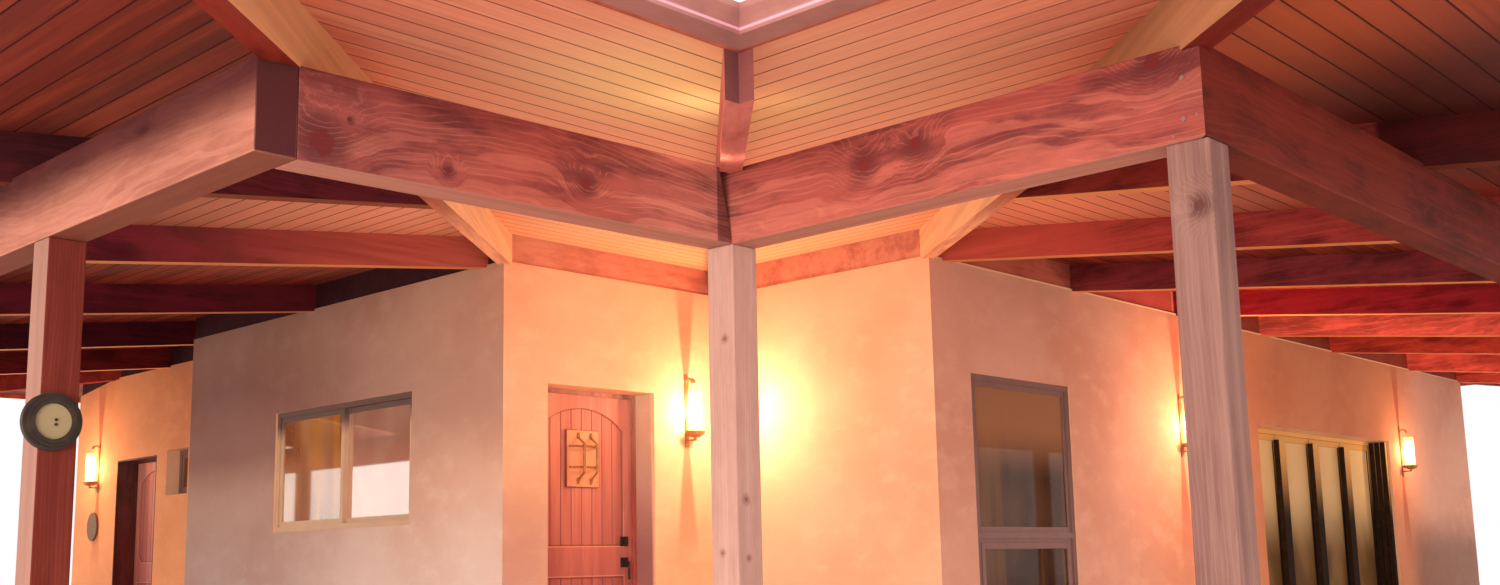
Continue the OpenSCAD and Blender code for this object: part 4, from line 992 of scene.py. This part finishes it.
def leaf_stiles(finish):
    """The proud stiles where the leaves of the glass doors meet, and the edges of those folded away."""
    bm = bmesh.new()
    for x in LEAF_JOINTS:
        low, high = LEAF_STILE
        rounded_block(bm, low + X * x, high + X * x, 0.004)
    for y in FOLDED_LEAVES:
        low, high = FOLDED_LEAF
        rounded_block(bm, low + Y * y, high + Y * y, 0.004)
    piece("leaf_stiles", bm, finish)


def dial_face(face_finish, mark_finish):
    """The pale face sunk in the dial, and its two small spindles."""
    low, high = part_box("post_dial")
    middle = (low + high) / 2
    face = Vector((middle.x, low.y + DIAL_SUNK, middle.z))
    bm = bmesh.new()
    disc(bm, face - Y * 0.001, -Y, DIAL_R, 0.002, 48)
    piece("dial_face", bm, face_finish)
    bm = bmesh.new()
    for z in SPINDLES_Z:
        disc(bm, face + X * SPINDLE_X - Y * 0.005 + Z * z, -Y, SPINDLE_R, 0.006, 16, 0.0015)
    piece("dial_spindles", bm, mark_finish)


# What each piece is finished with

WALLS = ("front_wall_left", "front_wall_right", "front_wall_head", "entry_side_wall", "right_wall_near",
         "right_wall_head", "right_wall_far", "left_wall", "far_left_wall_near", "far_left_wall_head",
         "far_left_wall_far", "back_wall")


def roof_timbers():
    # The rafters' undersides and the hips' sides take tones of painted light; tints and zones paint light
    # and shade.
    rafter_x = timber("rafter_along_x", LEFT_RAFTER_TONES, 0.0, spots=0.1, contrast=0.2,
                      faces=((-Z, LIT_UNDERSIDE, LEFT_UNDER_TINTS),), tints=LEFT_RAFTER_TINTS,
                      zones=LEFT_RAFTER_ZONES, over=TAIL_TINTS)
    rafter_y = timber("rafter_along_y", RIGHT_RAFTER_TONES, QUARTER, spots=0.1, contrast=0.2,
                      faces=((-Z, LIT_UNDERSIDE, ()),), tints=RIGHT_RAFTER_TINTS,
                      zones=RIGHT_RAFTER_ZONES, over=TAIL_TINTS)
    left_hip, right_hip = (
        timber(name, HIP_TONES, QUARTER / 2, spots=0.1, contrast=0.2,
               faces=((lit.normalized(), LIT_SIDE, ()),), zones=HIP_ZONES, over=tints)
        for name, lit, tints in (("left_hip_timber", X - Y, LEFT_HIP_TINTS),
                                 ("right_hip_timber", Y - X, RIGHT_HIP_TINTS)))
    # The valley's two sides darker as painted shade, by the way they face
    valley = timber("valley_timber", VALLEY_TONES, QUARTER / 2, contrast=0.2,
                    faces=((-X, seen(118, 66, 66), ()), (-Y, seen(100, 58, 60), ())))
    return {
        "left_rafters": rafter_x, "back_rafters": rafter_x, "right_rafters": rafter_y,
        "left_hip": left_hip, "right_hip": right_hip, "back_hips": right_hip, "valley_rafter": valley,
        "wall_blocking": timber("blocking_timber", BLOCKING_TONES, 0.0, spots=0.06, contrast=0.25,
                                tints=BLOCKING_TINTS),
        "fascia": timber("eaves_timber", EAVES_TONES, QUARTER, contrast=0.2),
    }


def doors():
    lining = timber("lining_wood", DOOR_TONES, upright=True, contrast=0.2, roughness=0.5,
                    tints=LINING_TINTS)
    return {
        "door_frames": lining,
        "front_door_leaf": door_wood("front_door_wood", "front_door_leaf", X, PEEK_SIZE),
        "side_door_leaf": door_wood("side_door_wood", "side_door_leaf", Y),
    }


def metals():
    bronze = coated_metal("dark_bronze_paint", seen(44, 34, 30), seen(64, 50, 42), 0.5, 0.0, 20.0)
    frame_paint = coated_metal("frame_paint", seen(132, 98, 94), seen(148, 112, 106), 0.5, 0.1)
    return {
        "front_gutter": coated_metal("gutter_paint", seen(164, 110, 104), seen(142, 92, 90), 0.45, 0.1,
                                     bands=(GUTTER_RIM_HIGHLIGHT,)),
        "front_door_hardware": bronze, "side_door_hardware": bronze, "post_dial": bronze,
        # The iron's golden tone is painted lamp light; the speakeasy's bars take it too.
        "lanterns": coated_metal("lantern_iron", seen(164, 116, 76), seen(196, 146, 96), 0.5, 0.4, 20.0),
        "left_window_frame": coated_metal("left_frame_paint", seen(206, 168, 138), seen(218, 180, 148),
                                          0.5, 0.0, bands=(LEFT_FRAME_HEAD_SHADE,)),
        "right_window_frame": frame_paint, "small_window_frame": frame_paint,
        "back_window_frames": frame_paint,
        "glass_door_frames": coated_metal("glass_door_paint", seen(42, 30, 24), seen(56, 42, 32),
                                          0.7, 0.0, 20.0, bands=(GLASS_DOOR_HEAD_LIGHT,), shine=0.02, lit=-Y),
        "oval_plaque": coated_metal("plaque_glaze", seen(116, 84, 58), seen(92, 88, 60), 0.5, 0.0, 60.0),
    }


def masonry():
    earth = adobe()
    slab = concrete("slab_concrete", seen(150, 140, 130), seen(172, 160, 148))
    return {**dict.fromkeys(WALLS, earth), "floor_slab": slab, "thresholds": slab}


def dress_nodes():
    """Each CAD node that stays as it is gets its own material."""
    finishes = {**masonry(), **roof_timbers(), **doors(), **metals(),
                "lantern_glasses": lit_glass("lantern_glass")}
    for node, finish in finishes.items():
        nodes[node].data.materials.clear()
        nodes[node].data.materials.append(finish)
    return finishes


def beams_and_posts():
    # The beams' undersides and the left post's west side take tones of painted light and shade.
    inner = {"ring": 0.013, "blotch": 0.9, "contrast": 0.3, "flames": 0.35, "end": END_GRAIN,
             "faces": ((-Z, BEAM_UNDERSIDE, ()),)}
    outer = {"spots": 0.08, "contrast": 0.25, "end": END_GRAIN}
    for node, finish in (
        ("left_inner_beam", timber("left_inner_timber", BEAM_TONES, 0.0, pith=(-3.2, 1.9),
                                   knots=LEFT_INNER_KNOTS, tints=LEFT_INNER_TINTS, **inner)),
        ("left_outer_beam", timber("left_outer_timber", LEFT_OUTER_TONES, QUARTER, pith=(5.1, 2.0),
                                   flames=0.3, tints=LEFT_OUTER_TINTS,
                                   faces=((-Z, LEFT_OUTER_UNDERSIDE, ()),), **outer)),
        ("right_inner_beam", timber("right_inner_timber", BEAM_TONES, QUARTER, pith=(3.2, 2.0),
                                    knots=RIGHT_INNER_KNOTS, tints=RIGHT_INNER_TINTS, **inner)),
        ("right_outer_beam", timber("right_outer_timber", OUTER_BEAM_TONES, 0.0, pith=(-5.1, 2.0),
                                    **outer)),
    ):
        eased(node, BEAM_ARRIS, finish)
    for node, tones, knots, faces in (
        ("centre_post", POST_TONES, CENTRE_POST_KNOTS, ()),
        ("left_post", LEFT_POST_TONES, (), ((-X, LEFT_POST_SIDE, ()),)),
        ("right_post", SIDE_POST_TONES, RIGHT_POST_KNOTS, ()),
        ("far_posts", SIDE_POST_TONES, (), ()),
    ):
        low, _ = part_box(node)
        finish = timber(node + "_timber", tones, upright=True, pith=(low.y - 0.2, -low.x + 0.25),
                        ring=0.012, knots=knots, wild=0.02, contrast=0.3, blotch=0.35, streaky=0.5,
                        fibres=0.2, faces=faces, roughness=0.8, relief=0.003)
        eased(node, POST_ARRIS, finish)


def boards():
    entry_left = ceiling_boards("entry_left_boards", ENTRY_BOARD_TONES, 0.35,
                                (*ENTRY_BOARD_ZONES, LEFT_VALLEY_LIGHT))
    entry_right = ceiling_boards("entry_right_boards", ENTRY_BOARD_TONES, 0.35,
                                 (*ENTRY_BOARD_ZONES, RIGHT_VALLEY_LIGHT))
    left = ceiling_boards("left_boards", OUTER_BOARD_TONES, 0.8, LEFT_BOARD_ZONES)
    outer = ceiling_boards("outer_boards", OUTER_BOARD_TONES, 0.8, RIGHT_BOARD_ZONES)
    board_deck("entry_left_deck", entry_left, (Y,))
    board_deck("entry_right_deck", entry_right, (X,))
    board_deck("left_deck", left, (X,))
    board_deck("right_deck", outer, (Y,))
    board_deck("back_deck", outer, (X, Y))


def glazing():
    """Each window's glass, with the room, the light and the reflections that it shows painted into its
    colour.
    """
    curtained = pane("curtained_pane", seen(166, 98, 62), seen(214, 152, 104), 3.6, 0.75)
    mirroring = pane("mirroring_pane", seen(210, 150, 128), seen(228, 174, 150), 5.0, 0.1)
    lamplit = pane("lamplit_pane", seen(66, 44, 36), seen(98, 68, 50), 1.2, 0.1,
                   upper=(1.5, 1.9, seen(176, 126, 96)))
    garden = pane("garden_pane", seen(108, 82, 52), seen(140, 108, 70), 1.03,
                  upper=(0.9, 1.6, seen(250, 216, 160)))
    room = pane("room_pane", seen(120, 72, 50), seen(150, 100, 66), 1.35)
    for name, finish, low, high in (
        ("left_window_far_pane", curtained, (-2.0, 1.93, 1.0), (-1.5, 3.0, 2.3)),
        ("left_window_near_pane", mirroring, (-2.0, 1.0, 1.0), (-1.5, 1.93, 2.3)),
        ("right_window_panes", lamplit, (0.4, -2.0, 0.4), (1.8, -1.8, 2.3)),
        ("glass_door_panes", garden, (4.8, -1.8, 0.1), (8.2, -1.6, 2.2)),
        ("small_window_pane", room, (-1.0, 6.0, 1.7), (-0.8, 6.7, 2.3)),
        ("back_window_panes", room, (1.1, 0.5, 1.0), (11.0, 9.0, 2.3)),
    ):
        window_panes(name, finish, low, high)


camera()
studio()
finishes = dress_nodes()
beams_and_posts()
boards()
seamed_roof(coated_metal("roof_paint", seen(118, 82, 70), seen(132, 94, 80), 0.45, 0.4, 1.2))
glazing()
lower_sash(finishes["right_window_frame"])
leaf_stiles(finishes["glass_door_frames"])
speakeasy(finishes["lanterns"])
beam_fixings(finishes["right_window_frame"])
dial_face(pale_card("dial_paper", seen(158, 140, 106), seen(140, 122, 90), seen(172, 152, 116)),
          finishes["post_dial"])
